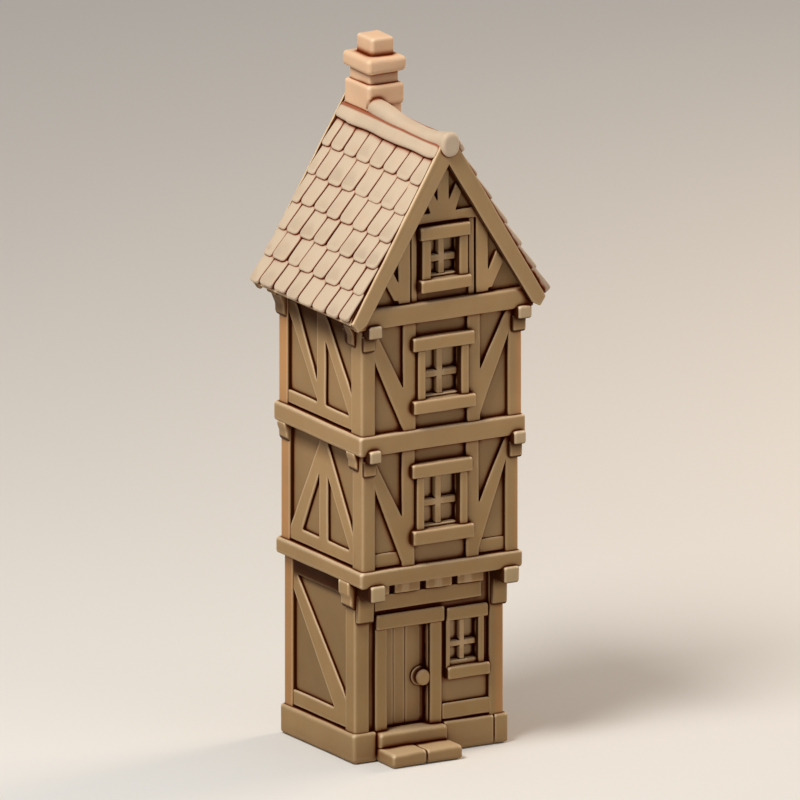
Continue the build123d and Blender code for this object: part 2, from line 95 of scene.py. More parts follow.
def levels(solid, axis):
    return sorted(set(np.round(solid[2][:, axis], 2)))


def loops_of(solid, n, back=0.0):
    """Outlines of the solid's flat faces that look along n at their outermost (or back mm behind), as 3-D points."""
    u, tri, p = solid
    n = np.array(n, float)
    a, b, c = u[tri[:, 0]], u[tri[:, 1]], u[tri[:, 2]]
    nn = np.cross(b - a, c - a)
    nn /= np.linalg.norm(nn, axis=1)[:, None] + 1e-12
    far = (p @ n).max() - back
    keep = (nn @ n > 0.999) & (np.abs(a @ n - far) < 0.03)
    edges = {}
    for t in tri[keep]:
        for i in range(3):
            e = (int(t[i]), int(t[(i + 1) % 3]))
            if (e[1], e[0]) in edges:
                del edges[(e[1], e[0])]
            else:
                edges[e] = True
    nxt = {}
    for s, e in edges:
        nxt.setdefault(s, []).append(e)
    loops = []
    while nxt:
        s = next(iter(nxt))
        loop = [s]
        while True:
            ends = nxt[loop[-1]]
            e = ends.pop()
            if not ends:
                del nxt[loop[-1]]
            if e == s:
                break
            loop.append(e)
        loops.append([u[i].copy() for i in loop])
    return loops


# ---------------------------------------------------------------- mesh building
def wave(p, size, seed):
    return noise.noise_vector(Vector((p[0] / size + seed * 3.71, p[1] / size - seed * 1.93, p[2] / size + seed * 0.77)))


class Bag:
    """Collects points and faces in mm for one mesh."""

    def __init__(self):
        self.v, self.f, self.tone = [], [], []

    def add(self, verts, faces, tone=0.5):
        k = len(self.v)
        self.v.extend(verts)
        self.f.extend([tuple(i + k for i in f) for f in faces])
        self.tone.extend([tone] * len(verts))

    def make(self, name, mat, slot, *nodes, wash_and_shade_mark=None):
        v = np.array([tuple(p) for p in self.v], float)
        me = bpy.data.meshes.new(name)
        me.from_pydata([tuple(p * MM) for p in v], [], self.f)
        me.polygons.foreach_set("use_smooth", [True] * len(me.polygons))
        normals = np.zeros_like(v)
        for f in self.f:
            q = v[list(f)]
            a = np.cross(q[2] - q[0], q[-1] - q[1]) if len(f) == 4 else np.cross(q[1] - q[0], q[2] - q[0])
            for i in f:
                normals[i] += a
        normals /= np.linalg.norm(normals, axis=1)[:, None] + 1e-12
        me.update()
        me.normals_split_custom_set_from_vertices([tuple(n) for n in normals])
        at = me.attributes.new("tone", "FLOAT", "POINT")
        at.data.foreach_set("value", np.array(self.tone, np.float32))
        # per-vertex mark of dark wash and painted shade
        if wash_and_shade_mark:
            at = me.attributes.new("wash_and_shade_mark", "FLOAT", "POINT")
            at.data.foreach_set("value", np.array([wash_and_shade_mark(p, n) for p, n in zip(v, normals)], np.float32))
        ob = bpy.data.objects.new(name, me)
        bpy.context.scene.collection.objects.link(ob)
        me.materials.append(mat)
        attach(ob, "root")
        if nodes:
            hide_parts(*nodes)
        return ob


def grid_line(a, b, r, step):
    t = r * (1 - math.tan(math.radians(22.5)))
    n = max(1, int(math.ceil((b - a - 2 * r) / step)))
    mid = [a + r + (b - a - 2 * r) * i / n for i in range(n + 1)]
    return [a, a + t] + mid + [b - t, b]


def rbox(bag, lo, hi, r=0.6, step=4.0, amp=0.12, size=13.0, seed=0.0, tone=None, own=0.0, shape=None):
    """Block with rounded edges and a slight hand-cut unevenness; r may be one radius or one for each axis."""
    lo, hi = [min(a, b) for a, b in zip(lo, hi)], [max(a, b) for a, b in zip(lo, hi)]
    r = [min(q, 0.49 * (hi[i] - lo[i])) for i, q in enumerate(r if isinstance(r, tuple) else (r, r, r))]
    if max(r) - min(r) < 0.05:
        r = [min(r)] * 3
    pos = [grid_line(lo[i], hi[i], r[i], step) for i in range(3)]
    n = [len(p) - 1 for p in pos]
    idx, verts, faces = {}, [], []

    def vid(i, j, k):
        key = (i, j, k)
        if key not in idx:
            p = [pos[0][i], pos[1][j], pos[2][k]]
            q = [min(max(p[m], lo[m] + r[m]), hi[m] - r[m]) for m in range(3)]
            d = Vector([(p[m] - q[m]) / r[m] for m in range(3)])
            if d.length > 1e-6:
                d.normalize()
                w = Vector([q[m] + d[m] * r[m] for m in range(3)])
            else:
                w = Vector(p)
            idx[key] = len(verts)
            verts.append(w)
        return idx[key]

    for a in range(3):
        b, c = (a + 1) % 3, (a + 2) % 3
        for side in (0, n[a]):
            for i in range(n[b]):
                for j in range(n[c]):
                    quad = []
                    for di, dj in ((0, 0), (1, 0), (1, 1), (0, 1)):
                        key = [0, 0, 0]
                        key[a], key[b], key[c] = side, i + di, j + dj
                        quad.append(vid(*key))
                    if side == 0:
                        quad.reverse()
                    faces.append(tuple(quad))
    own_seed = RNG.random() * 50 if own else 0
    for i, w in enumerate(verts):
        if shape:
            w = Vector(shape(w))
        if amp:
            w = w + wave(w, size, seed) * amp
        if own:
            w = w + wave(w, 7.0, own_seed) * own
        verts[i] = w
    bag.add(verts, faces, RNG.random() if tone is None else tone)


def rounded_loop(pts, t=0.45, step=2.4):
    """Loop of 2-D points with its corners eased and its edges divided."""
    clean = []
    n = len(pts)
    for i in range(n):
        a, b, c = pts[i - 1], pts[i], pts[(i + 1) % n]
        d1 = (b[0] - a[0], b[1] - a[1])
        d2 = (c[0] - b[0], c[1] - b[1])
        l1, l2 = math.hypot(*d1), math.hypot(*d2)
        if l1 < 1e-6 or l2 < 1e-6:
            continue
        if abs(d1[0] * d2[1] - d1[1] * d2[0]) / (l1 * l2) < 0.004 and d1[0] * d2[0] + d1[1] * d2[1] > 0:
            continue
        clean.append(b)
    out = []
    n = len(clean)
    for i in range(n):
        a, b, c = clean[i - 1], clean[i], clean[(i + 1) % n]
        l1, l2 = math.dist(a, b), math.dist(b, c)
        tt = min(t if not callable(t) else t(b), 0.32 * l1, 0.32 * l2)
        e1 = (b[0] + (a[0] - b[0]) * tt / l1, b[1] + (a[1] - b[1]) * tt / l1)
        e2 = (b[0] + (c[0] - b[0]) * tt / l2, b[1] + (c[1] - b[1]) * tt / l2)
        k = 2 if tt < 0.9 else 5
        for m in range(k + 1):
            s = m / k
            out.append(((1 - s) ** 2 * e1[0] + 2 * s * (1 - s) * b[0] + s * s * e2[0],
                        (1 - s) ** 2 * e1[1] + 2 * s * (1 - s) * b[1] + s * s * e2[1]))
        tn = min(t if not callable(t) else t(c), 0.32 * l2, 0.32 * math.dist(c, clean[(i + 2) % n]))
        run = l2 - tt - tn
        m = int(run // step)
        for q in range(1, m + 1):
            s = (tt + run * q / (m + 1)) / l2
            out.append((b[0] + (c[0] - b[0]) * s, b[1] + (c[1] - b[1]) * s))
    return out


def area2(loop):
    return sum(loop[i - 1][0] * loop[i][1] - loop[i][0] * loop[i - 1][1] for i in range(len(loop)))


def slab(bag, loops, place, thick, r=0.45, ease=0.45, step=2.4, fill=6.0, amp=0.0, size=9.0, seed=0.0, crown=None,
         seg=3, tone=None, ready=False):
    """Flat board cut to 2-D loops (the first is the outside, the rest are holes), with rounded edges.
    place(a, b, c) gives the 3-D point; c is 0 at the front and negative inwards."""
    ls = []
    for i, l in enumerate(loops):
        l = [tuple(p) for p in l]
        if (area2(l) < 0) == (i == 0):
            l.reverse()
        l = l if ready else rounded_loop(l, ease, step)
        if amp:
            moved = []
            for a, b in l:
                w = wave(place(a, b, 0), size, seed)
                moved.append((a + w[0] * amp + w[1] * amp * 0.6, b + w[2] * amp))
            l = moved
        ls.append(l)
    inset = []
    for l in ls:
        n = len(l)
        norms = []
        for i in range(n):
            a, b, c = l[i - 1], l[i], l[(i + 1) % n]
            d1, d2 = Vector((b[0] - a[0], b[1] - a[1])), Vector((c[0] - b[0], c[1] - b[1]))
            n1, n2 = Vector((-d1.y, d1.x)).normalized(), Vector((-d2.y, d2.x)).normalized()
            m = n1 + n2
            m = m.normalized() if m.length > 1e-6 else n1
            m = m / max(0.62, m.dot(n1))
            norms.append(m)
        inset.append(norms)
    rings = []
    verts, faces = [], []
    for k in range(seg + 1):
        th = math.pi / 2 * k / seg
        rings.append((r * (1 - math.sin(th)), -r * (1 - math.cos(th))))
    rings.append((0.0, -thick))
    index = []
    for l, norms in zip(ls, inset):
        rows = []
        for off, c in rings:
            row = []
            for p, m in zip(l, norms):
                row.append(len(verts))
                verts.append((p[0] + m.x * off, p[1] + m.y * off, c))
            rows.append(row)
        n = len(l)
        for k in range(len(rows) - 1):
            for i in range(n):
                j = (i + 1) % n
                faces.append((rows[k][i], rows[k + 1][i], rows[k + 1][j], rows[k][j]))
        index.append(rows)
    pts, edges, src, polys = [], [], [], []
    for l, rows in zip(ls, index):
        k0 = len(pts)
        poly = []
        for v in rows[0]:
            pts.append(Vector(verts[v][:2]))
            poly.append(verts[v][:2])
            src.append((v, rows[-1][len(poly) - 1]))
        polys.append(np.array(poly))
        edges += [(k0 + i, k0 + (i + 1) % len(poly)) for i in range(len(poly))]

    def inside(q):
        c = False
        for poly in polys:
            x, y = poly[:, 0], poly[:, 1]
            x2, y2 = np.roll(x, -1), np.roll(y, -1)
            cond = (y > q[1]) != (y2 > q[1])
            with np.errstate(divide="ignore", invalid="ignore"):
                xi = x + (q[1] - y) * (x2 - x) / (y2 - y)
            if np.count_nonzero(cond & (q[0] < xi)) % 2:
                c = not c
        return c

    allp = np.concatenate(polys)
    lo, hi = allp.min(0), allp.max(0)
    nx, ny = max(1, int((hi[0] - lo[0]) / fill)), max(1, int((hi[1] - lo[1]) / fill))
    for i in range(1, nx + 1):
        for j in range(1, ny + 1):
            q = (lo[0] + (hi[0] - lo[0]) * (i - 0.5 + 0.13 * (j % 2)) / nx, lo[1] + (hi[1] - lo[1]) * (j - 0.5) / ny)
            if inside(q) and np.min(np.hypot(allp[:, 0] - q[0], allp[:, 1] - q[1])) > 0.9:
                f0 = len(verts)
                verts.append((q[0], q[1], 0.0))
                verts.append((q[0], q[1], -thick))
                pts.append(Vector(q))
                src.append((f0, f0 + 1))
    res = delaunay_2d_cdt(pts, edges, [], 0, 1e-5)
    look = []
    for i, ov in enumerate(res[3]):
        if ov:
            look.append(src[ov[0]])
        else:
            f0 = len(verts)
            verts.append((res[0][i].x, res[0][i].y, 0.0))
            verts.append((res[0][i].x, res[0][i].y, -thick))
            look.append((f0, f0 + 1))
    for t in res[2]:
        a, b, c = (res[0][i] for i in t)
        q = ((a.x + b.x + c.x) / 3, (a.y + b.y + c.y) / 3)
        if not inside(q):
            continue
        if (b.x - a.x) * (c.y - a.y) - (b.y - a.y) * (c.x - a.x) < 0:
            t = (t[0], t[2], t[1])
        faces.append(tuple(look[i][0] for i in t))
        faces.append(tuple(look[i][1] for i in reversed(t)))
    out = []
    for a, b, c in verts:
        if crown:
            c += crown(a, b) * (1.0 if c > -thick + 1e-6 else 0.0)
        out.append(Vector(place(a, b, c)))
    bag.add(out, faces, RNG.random() if tone is None else tone)


def loft(bag, rows, tone=0.5, caps=True):
    """Closed sections of equal count joined one after another."""
    m = len(rows[0])
    verts = [Vector(p) for row in rows for p in row]
    faces = []
    for i in range(len(rows) - 1):
        for j in range(m):
            k = (j + 1) % m
            faces.append((i * m + j, i * m + k, (i + 1) * m + k, (i + 1) * m + j))
    if caps:
        for row, first in ((0, True), (len(rows) - 1, False)):
            c = Vector((0, 0, 0))
            for p in rows[row]:
                c += Vector(p)
            verts.append(c / m)
            ci = len(verts) - 1
            for j in range(m):
                k = (j + 1) % m
                faces.append((ci, row * m + k, row * m + j) if first else (ci, row * m + j, row * m + k))
    bag.add(verts, faces, tone)


def turned(bag, centre, profile, n=36, tone=0.5):
    """Turned piece whose axis looks along -Y; profile is (radius, distance forward)."""
    rows = []
    for rad, f in profile:
        rows.append([(centre[0] + rad * math.cos(2 * math.pi * i / n), centre[1] - f,
                      centre[2] - rad * math.sin(2 * math.pi * i / n)) for i in range(n)])
    rows.reverse()
    loft(bag, rows, tone)


# planes of the walls: place(a, z, c) with a along the wall
def front(y):
    return lambda a, b, c: (a, y - c, b)


def back(y):
    return lambda a, b, c: (-a, y + c, b)


def left(x):
    return lambda a, b, c: (x - c, -a, b)


def right(x):
    return lambda a, b, c: (x + c, a, b)


FLAT = {"front": ((0, -1, 0), front, lambda p: (p[0], p[2]), 1), "back": ((0, 1, 0), back, lambda p: (-p[0], p[2]), 1),
        "left": ((-1, 0, 0), left, lambda p: (-p[1], p[2]), 0), "right": ((1, 0, 0), right, lambda p: (p[1], p[2]), 0)}


# ---------------------------------------------------------------- materials
# painted shade under the overhangs of the side walls: top, full down to, gone at, the posts' inner faces and outer
# face, amount, amount on a post
OVERHANG_SHADE = []
for band, reach, amount, on_post in (("middle_floor_band", (4.6, 9.0), 0.97, 0.1), ("upper_floor_band", (3.2, 9.0), 0.45, 0.1),
                                     ("left_roof_slope", (5.6, 15.2), 0.93, 0.45)):
    zt_ = box(band)[0][2]
    mine = [t for t in map(span, solids("corner_posts")) if t[0][2] < zt_ - 12 < t[1][2]]
    OVERHANG_SHADE.append((zt_, zt_ - reach[0], zt_ - reach[1], max(t[1][1] for t in mine if t[1][1] < 0),
                  min(t[0][1] for t in mine if t[0][1] > 0), max(t[1][0] for t in mine), amount, on_post))


def smooth(v, a, b):
    t = min(1.0, max(0.0, (v - a) / (b - a)))
    return t * t * (3 - 2 * t)


def flank_xz(p, n):
    return 0.92 * smooth(1 - abs(n[1]), 0.50, 0.88)


def flank_yz(p, n):
    return 0.84 * smooth(1 - abs(n[0]), 0.50, 0.88)


# dark wash on faces that look sideways, painted shade on faces that look down
def flank_x(p, n):
    return max(0.95 * smooth(abs(n[0]), 0.66, 0.95), 0.88 * smooth(-n[2], 0.60, 0.92))


# painted shade on faces that look down
def underside_shade(p, n):
    return 0.8 * smooth(-n[2], 0.55, 0.9)


def post_inner(p, n):
    return 0.94 * max(smooth(-n[0] * (1 if p[0] > 0 else -1), 0.6, 0.92), smooth(-n[1] * (1 if p[1] > 0 else -1), 0.6, 0.92))


# dark wash and painted shade on the inner flanks of the barge boards
def barge_inner(p, n):
    return 0.98 * smooth(-n[0] * (1 if p[0] > 0 else -1), 0.40, 0.75)


def ramp(nt, fac, stops, x=0, y=0, mode="LINEAR"):
    n = nt.nodes.new("ShaderNodeValToRGB")
    n.location = (x, y)
    n.color_ramp.interpolation = mode
    el = n.color_ramp.elements
    el[0].position, el[0].color = stops[0][0], (*stops[0][1], 1)
    el[1].position, el[1].color = stops[-1][0], (*stops[-1][1], 1)
    for pos, col in stops[1:-1]:
        e = el.new(pos)
        e.color = (*col, 1)
    nt.links.new(fac, n.inputs[0])
    return n.outputs[0]


def math_node(nt, op, a, b=None, clamp=False):
    n = nt.nodes.new("ShaderNodeMath")
    n.operation = op
    n.use_clamp = clamp
    for i, v in enumerate((a, b)):
        if v is None:
            continue
        if isinstance(v, (int, float)):
            n.inputs[i].default_value = v
        else:
            nt.links.new(v, n.inputs[i])
    return n.outputs[0]


def mix(nt, fac, a, b, kind="MIX"):
    n = nt.nodes.new("ShaderNodeMix")
    n.data_type = "RGBA"
    n.blend_type = kind
    if isinstance(fac, (int, float)):
        n.inputs[0].default_value = fac
    else:
        nt.links.new(fac, n.inputs[0])
    for i, v in ((6, a), (7, b)):
        if isinstance(v, tuple):
            n.inputs[i].default_value = (*v, 1)
        else:
            nt.links.new(v, n.inputs[i])
    return n.outputs[2]


def srgb(r, g, b):
    def f(c):
        c /= 255.0
        return c / 12.92 if c <= 0.04045 else ((c + 0.055) / 1.055) ** 2.4
    return (f(r), f(g), f(b))


def resin(name, clean, wash, deep, pale_and_highlight, rough=0.62, grain=(1.0, 1.0, 1.0), grain_amt=0.12, soft=0.0026, crisp=0.0010,
          wash_amt=1.0, shade=0.34, top=0.24, broad_shade=0.22, wash_and_shade_colour=None, eave=0.84, cut=None, low=1.0, edge_highlight=1.0, rim_light_at=None):
    """Painted cast resin: a clean tone, a brown wash that has run into every crevice, and rubbed paler edges, with
    painted shade and painted highlights laid over them.
    """
    m = bpy.data.materials.new(name)
    m.use_nodes = True
    nt = m.node_tree
    nt.nodes.clear()
    out = nt.nodes.new("ShaderNodeOutputMaterial")
    bsdf = nt.nodes.new("ShaderNodeBsdfPrincipled")
    nt.links.new(bsdf.outputs[0], out.inputs[0])
    tc = nt.nodes.new("ShaderNodeTexCoord")
    tone = nt.nodes.new("ShaderNodeAttribute")
    tone.attribute_name = "tone"

    def noise_tex(scale, detail, rough_, vec=None, dist=0.0):
        n = nt.nodes.new("ShaderNodeTexNoise")
        n.inputs["Scale"].default_value = scale
        n.inputs["Detail"].default_value = detail
        n.inputs["Roughness"].default_value = rough_
        n.inputs["Distortion"].default_value = dist
        nt.links.new(vec or tc.outputs["Object"], n.inputs["Vector"])
        return n.outputs[0]

    big = noise_tex(45, 3, 0.55)
    mid = noise_tex(210, 4, 0.6)
    mp = nt.nodes.new("ShaderNodeMapping")
    mp.inputs["Scale"].default_value = grain
    nt.links.new(tc.outputs["Object"], mp.inputs["Vector"])
    fibre = noise_tex(900, 4, 0.6, mp.outputs[0], 0.4)
    fine = noise_tex(2600, 2, 0.5)

    # tone variation over the clean colour
    c1 = ramp(nt, big, [(0.30, tuple(c * 0.90 for c in clean)), (0.52, clean), (0.74, tuple(min(1, c * 1.08) for c in clean))])
    warm = (min(1, clean[0] * 1.05), clean[1] * 0.93, clean[2] * 0.84)
    f1 = ramp(nt, mid, [(0.42, (0, 0, 0)), (0.72, (1, 1, 1))])
    sep = nt.nodes.new("ShaderNodeSeparateColor")
    nt.links.new(f1, sep.inputs[0])
    c2 = mix(nt, math_node(nt, "MULTIPLY", sep.outputs[0], 0.45), c1, warm)
    tv = math_node(nt, "MULTIPLY_ADD", tone.outputs["Fac"], 0.16)
    tv.node.inputs[2].default_value = 0.92
    mul = nt.nodes.new("ShaderNodeVectorMath")
    mul.operation = "SCALE"
    nt.links.new(c2, mul.inputs[0])
    nt.links.new(tv, mul.inputs["Scale"])
    c3 = mul.outputs[0]
    spl = nt.nodes.new("ShaderNodeSeparateXYZ")
    nt.links.new(tc.outputs["Object"], spl.inputs[0])
    spn = nt.nodes.new("ShaderNodeSeparateXYZ")
    nt.links.new(tc.outputs["Normal"], spn.inputs[0])
    if low < 1.0:
        # painted shade: duller and darker towards the foot
        c3 = mix(nt, nt_range(nt, spl.outputs[2], 0.028, 0.126, 1.0, 0.0), c3, (low, low * 0.98, low * 0.87), "MULTIPLY")
    if rim_light_at:
        # painted warm rim light on the left rear posts' outer faces and on the outer edge of the right front posts
        wa = math_node(nt, "MULTIPLY", nt_range(nt, spl.outputs[1], (rim_light_at[0] - 0.4) * MM, (rim_light_at[0] + 0.4) * MM, 0.0, 1.0),
                       nt_range(nt, spn.outputs[0], -0.85, -0.5, 1.0, 0.0))
        wx = math_node(nt, "ADD", spl.outputs[0], nt_range(nt, spl.outputs[2], 0.0555, 0.0595, 3.2 * MM, 0.0))
        wb = math_node(nt, "MULTIPLY", nt_range(nt, wx, (rim_light_at[1] - 3.4) * MM, (rim_light_at[1] - 0.6) * MM, 0.0, 1.0),
                       nt_range(nt, spn.outputs[1], -0.85, -0.3, 1.0, 0.0))
        c3 = mix(nt, math_node(nt, "MAXIMUM", wa, wb), c3, (1.29, 1.07, 0.95), "MULTIPLY")

    # wash in the crevices
    def ao(dist, inside=False, local=False, n=8):
        a = nt.nodes.new("ShaderNodeAmbientOcclusion")
        a.samples = n
        a.inside = inside
        a.only_local = local
        a.inputs["Distance"].default_value = dist
        return a.outputs["AO"]

    far, wide, tight = ao(0.012, n=8), ao(soft, n=16), ao(crisp, n=8)
    brk = math_node(nt, "MULTIPLY_ADD", big, 0.16)
    brk.node.inputs[2].default_value = -0.08
    foot = nt_range(nt, spl.outputs[2], 0.0002, 0.0030, 0.0, 1.0)
    # far occlusion: painted shade in deep recesses and under overhangs, a broad warm tint (g1) and a darker shade (g2)
    f0 = math_node(nt, "ADD", far, brk)
    g1 = nt_range(nt, f0, 0.50, 0.97, 1.0, 0.0)
    g1 = math_node(nt, "MULTIPLY", g1, broad_shade * wash_amt, True)
    g1 = math_node(nt, "MULTIPLY", g1, foot)
    g2 = nt_range(nt, f0, 0.50, 0.80, 1.0, 0.0)
    g2 = math_node(nt, "MULTIPLY", g2, shade * wash_amt, True)
    g2 = math_node(nt, "MULTIPLY", g2, foot)
    w0 = math_node(nt, "ADD", wide, brk)
    w1 = nt_range(nt, w0, 0.62, 0.92, 1.0, 0.0)
    w1 = math_node(nt, "MULTIPLY", w1, wash_amt, True)
    w1 = math_node(nt, "MULTIPLY", w1, foot)
    w2 = nt_range(nt, w0, 0.52, 0.79, 1.0, 0.0)
    w3 = nt_range(nt, tight, 0.42, 0.84, 1.0, 0.0)
    w2 = math_node(nt, "MAXIMUM", w2, w3)
    w2 = math_node(nt, "MULTIPLY", w2, wash_amt, True)
    w2 = math_node(nt, "MULTIPLY", w2, foot)
    c3 = mix(nt, g1, c3, tuple(0.35 * a + 0.65 * b for a, b in zip(wash, clean)))
    c3 = mix(nt, g2, c3, tuple(0.5 * a + 0.5 * b for a, b in zip(wash, deep)))
    c4 = mix(nt, w1, c3, wash)
    c5 = mix(nt, w2, c4, deep)
    # painted shade under the overhangs, joined to the per-vertex mark of dark wash and painted shade
    ax = math_node(nt, "ABSOLUTE", spl.outputs[0])
    flank = nt_range(nt, math_node(nt, "ABSOLUTE", spn.outputs[0]), 0.5, 0.85, 0.0, 1.0)
    wash_and_shade_mark = nt.nodes.new("ShaderNodeAttribute")
    wash_and_shade_mark.attribute_name = "wash_and_shade_mark"
    wash_and_shade_mask = wash_and_shade_mark.outputs["Fac"]
    for z_top, z_full, z_end, y_a, y_b, x_out, amount, on_post in OVERHANG_SHADE:
        g = nt_range(nt, spl.outputs[2], z_end * MM, z_full * MM, 0.0, amount * (eave if on_post > 0.3 else 1.0))
        g = math_node(nt, "MULTIPLY", g, nt_range(nt, spl.outputs[2], z_top * MM, (z_top + 0.5) * MM, 1.0, 0.0))
        g = math_node(nt, "MULTIPLY", g, nt_range(nt, spl.outputs[1], (y_a - 0.3) * MM, (y_a + 0.3) * MM, on_post, 1.0))
        g = math_node(nt, "MULTIPLY", g, nt_range(nt, spl.outputs[1], (y_b - 0.3) * MM, (y_b + 0.3) * MM, 1.0, on_post))
        g = math_node(nt, "MULTIPLY", g, nt_range(nt, ax, (x_out - 7) * MM, (x_out - 5) * MM, 0.0, 1.0))
        if on_post < 0.3:
            g = math_node(nt, "MULTIPLY", g, nt_range(nt, ax, (x_out + 0.3) * MM, (x_out + 0.7) * MM, 1.0, 0.0))
        else:
            g = math_node(nt, "MULTIPLY", g, nt_range(nt, ax, (x_out + 0.2) * MM, (x_out + 0.6) * MM, 1.0, 1.8), True)
        wash_and_shade_mask = math_node(nt, "MAXIMUM", wash_and_shade_mask, math_node(nt, "MULTIPLY", g, flank))
    if cut:
        # dark wash and painted shade on the strip that runs in behind the barge boards
        q = math_node(nt, "MULTIPLY_ADD", ax, cut[0])
        nt.links.new(spl.outputs[2], q.node.inputs[2])
        wash_and_shade_mask = math_node(nt, "MAXIMUM", wash_and_shade_mask, nt_range(nt, q, (cut[1] - 2.5) * MM, (cut[1] - 1.2) * MM, 0.0, 0.98))
    gb = math_node(nt, "ADD", wash_and_shade_mask, math_node(nt, "MULTIPLY", brk, wash_and_shade_mask), True)
    # one dark colour for the wash and the painted shade
    c5 = mix(nt, gb, c5, wash_and_shade_colour or srgb(58, 23, 3))
    # painted highlight on edges, strongest on those that look up and to the left toward the key lamp, over rubbed paler
    # edges; faces that look up are painted paler, as lit from above
    edge = ao(0.0013, True, True)
    e1 = nt_range(nt, edge, 0.58, 0.97, 1.0, 0.0)
    aim = nt.nodes.new("ShaderNodeVectorMath")
    aim.operation = "DOT_PRODUCT"
    nt.links.new(tc.outputs["Normal"], aim.inputs[0])
    aim.inputs[1].default_value = (-0.50, -0.12, 0.86)
    e1 = math_node(nt, "MULTIPLY", e1, nt_range(nt, aim.outputs["Value"], 0.20, 0.85, 0.22, edge_highlight), True)
    up = nt_range(nt, spn.outputs[2], 0.60, 0.96, 0.0, top)
    e1 = math_node(nt, "MAXIMUM", e1, up)
    open_ = nt_range(nt, wide, 0.72, 0.96, 0.0, 1.0)
    e1 = math_node(nt, "MULTIPLY", e1, open_, True)
    e1 = math_node(nt, "MULTIPLY", e1, math_node(nt, "SUBTRACT", 1.0, gb, True), True)
    c6 = mix(nt, e1, c5, pale_and_highlight)
    nt.links.new(c6, bsdf.inputs["Base Color"])
    dull = math_node(nt, "MAXIMUM", w2, gb)
    sp = math_node(nt, "MULTIPLY_ADD", dull, -0.29)
    sp.node.inputs[2].default_value = 0.32

    rr = math_node(nt, "MULTIPLY_ADD", mid, 0.22)
    rr.node.inputs[2].default_value = rough - 0.11
    nt.links.new(rr, bsdf.inputs["Roughness"])
    nt.links.new(sp, bsdf.inputs["Specular IOR Level"])

    h1 = math_node(nt, "MULTIPLY", fibre, grain_amt)
    h2 = math_node(nt, "MULTIPLY_ADD", fine, 0.05)
    nt.links.new(h1, h2.node.inputs[2])
    h3 = math_node(nt, "MULTIPLY_ADD", mid, 0.35)
    nt.links.new(h2, h3.node.inputs[2])
    bump = nt.nodes.new("ShaderNodeBump")
    bump.inputs["Strength"].default_value = 0.35
    bump.inputs["Distance"].default_value = 0.00045
    nt.links.new(h3, bump.inputs["Height"])
    nt.links.new(bump.outputs[0], bsdf.inputs["Normal"])
    return m


def nt_range(nt, v, a, b, c, d):
    n = nt.nodes.new("ShaderNodeMapRange")
    n.interpolation_type = "SMOOTHSTEP"
    n.inputs[1].default_value, n.inputs[2].default_value = a, b
    n.inputs[3].default_value, n.inputs[4].default_value = c, d
    nt.links.new(v, n.inputs[0])
    return n.outputs[0]


WASH, DEEP = srgb(122, 64, 22), srgb(66, 17, 0)
RWASH, RDEEP = srgb(160, 84, 48), srgb(108, 36, 8)
BODY, PALE_AND_HIGHLIGHT = srgb(171, 138, 95), srgb(238, 210, 174)
M_TIMBER = resin("timber", BODY, WASH, DEEP, PALE_AND_HIGHLIGHT, grain=(1.0, 1.0, 0.10), low=0.82, edge_highlight=1.35)
M_RAIL = resin("timber_level", BODY, WASH, DEEP, PALE_AND_HIGHLIGHT, grain=(0.12, 0.12, 1.0), low=0.87, edge_highlight=1.6)
M_BAND = resin("floor_band", BODY, WASH, DEEP, srgb(246, 222, 190), grain=(0.12, 0.12, 1.0), low=0.78, edge_highlight=2.6)
post_spans = [span(t) for t in solids("corner_posts")]
# corner posts carry a painted warm rim light on their outer faces and edges
M_POST = resin("corner_post", BODY, WASH, DEEP, PALE_AND_HIGHLIGHT, grain=(1.0, 1.0, 0.10), low=0.78, edge_highlight=1.4,
               rim_light_at=(min(t[0][1] for t in post_spans if t[0][1] > 0), max(t[1][0] for t in post_spans)))
M_BLOCK = resin("beam_end", srgb(188, 163, 128), WASH, DEEP, srgb(244, 220, 188), grain=(1.0, 1.0, 0.3), low=0.86, top=0.45, edge_highlight=1.7,
                shade=0.2, broad_shade=0.1)
# the line of the barge boards' inner edge: height at the middle, and fall for each mm outwards
bb = [q for t in solids("right_barge_boards") for q in t[2] if t[2][:, 1].max() < 0]
apex = min(float(q[2]) for q in bb if abs(q[0]) < 0.4)
slo_ = solids("left_roof_slope")[0][2]
outer = slo_[slo_[:, 0].argmin()]
inner_ = slo_[slo_[:, 2].argmax()]
fall = float((inner_[2] - outer[2]) / (abs(outer[0]) - abs(inner_[0])))
# the gable timber is lighter than the body timber: painted light against the shade under the barge boards
M_GABLE = resin("gable_timber", srgb(184, 149, 104), WASH, DEEP, PALE_AND_HIGHLIGHT, grain=(1.0, 1.0, 0.10), shade=0.0, broad_shade=0.06, cut=(fall, apex),
                wash_and_shade_colour=srgb(92, 38, 6))
# window bars and blind panes are lighter than the body: painted light against the shade in the window recesses
M_BAR = resin("window_bar", srgb(182, 148, 104), WASH, DEEP, PALE_AND_HIGHLIGHT, grain=(1.0, 1.0, 0.10), soft=0.0012, crisp=0.0006, shade=0.0,
              broad_shade=0.08)
M_PANE = resin("blind_pane", srgb(186, 151, 106), WASH, DEEP, PALE_AND_HIGHLIGHT, grain=(1.0, 1.0, 1.0), soft=0.0017, crisp=0.0008, shade=0.0,
               broad_shade=0.1)
M_INFILL = resin("infill", srgb(156, 125, 86), WASH, DEEP, PALE_AND_HIGHLIGHT, grain=(1.0, 1.0, 1.0), grain_amt=0.05, rough=0.68, eave=1.0)
M_SINFILL = resin("side_infill", srgb(156, 125, 86), WASH, DEEP, PALE_AND_HIGHLIGHT, grain=(1.0, 1.0, 1.0), grain_amt=0.05, rough=0.68, eave=1.0,
                  low=0.73)
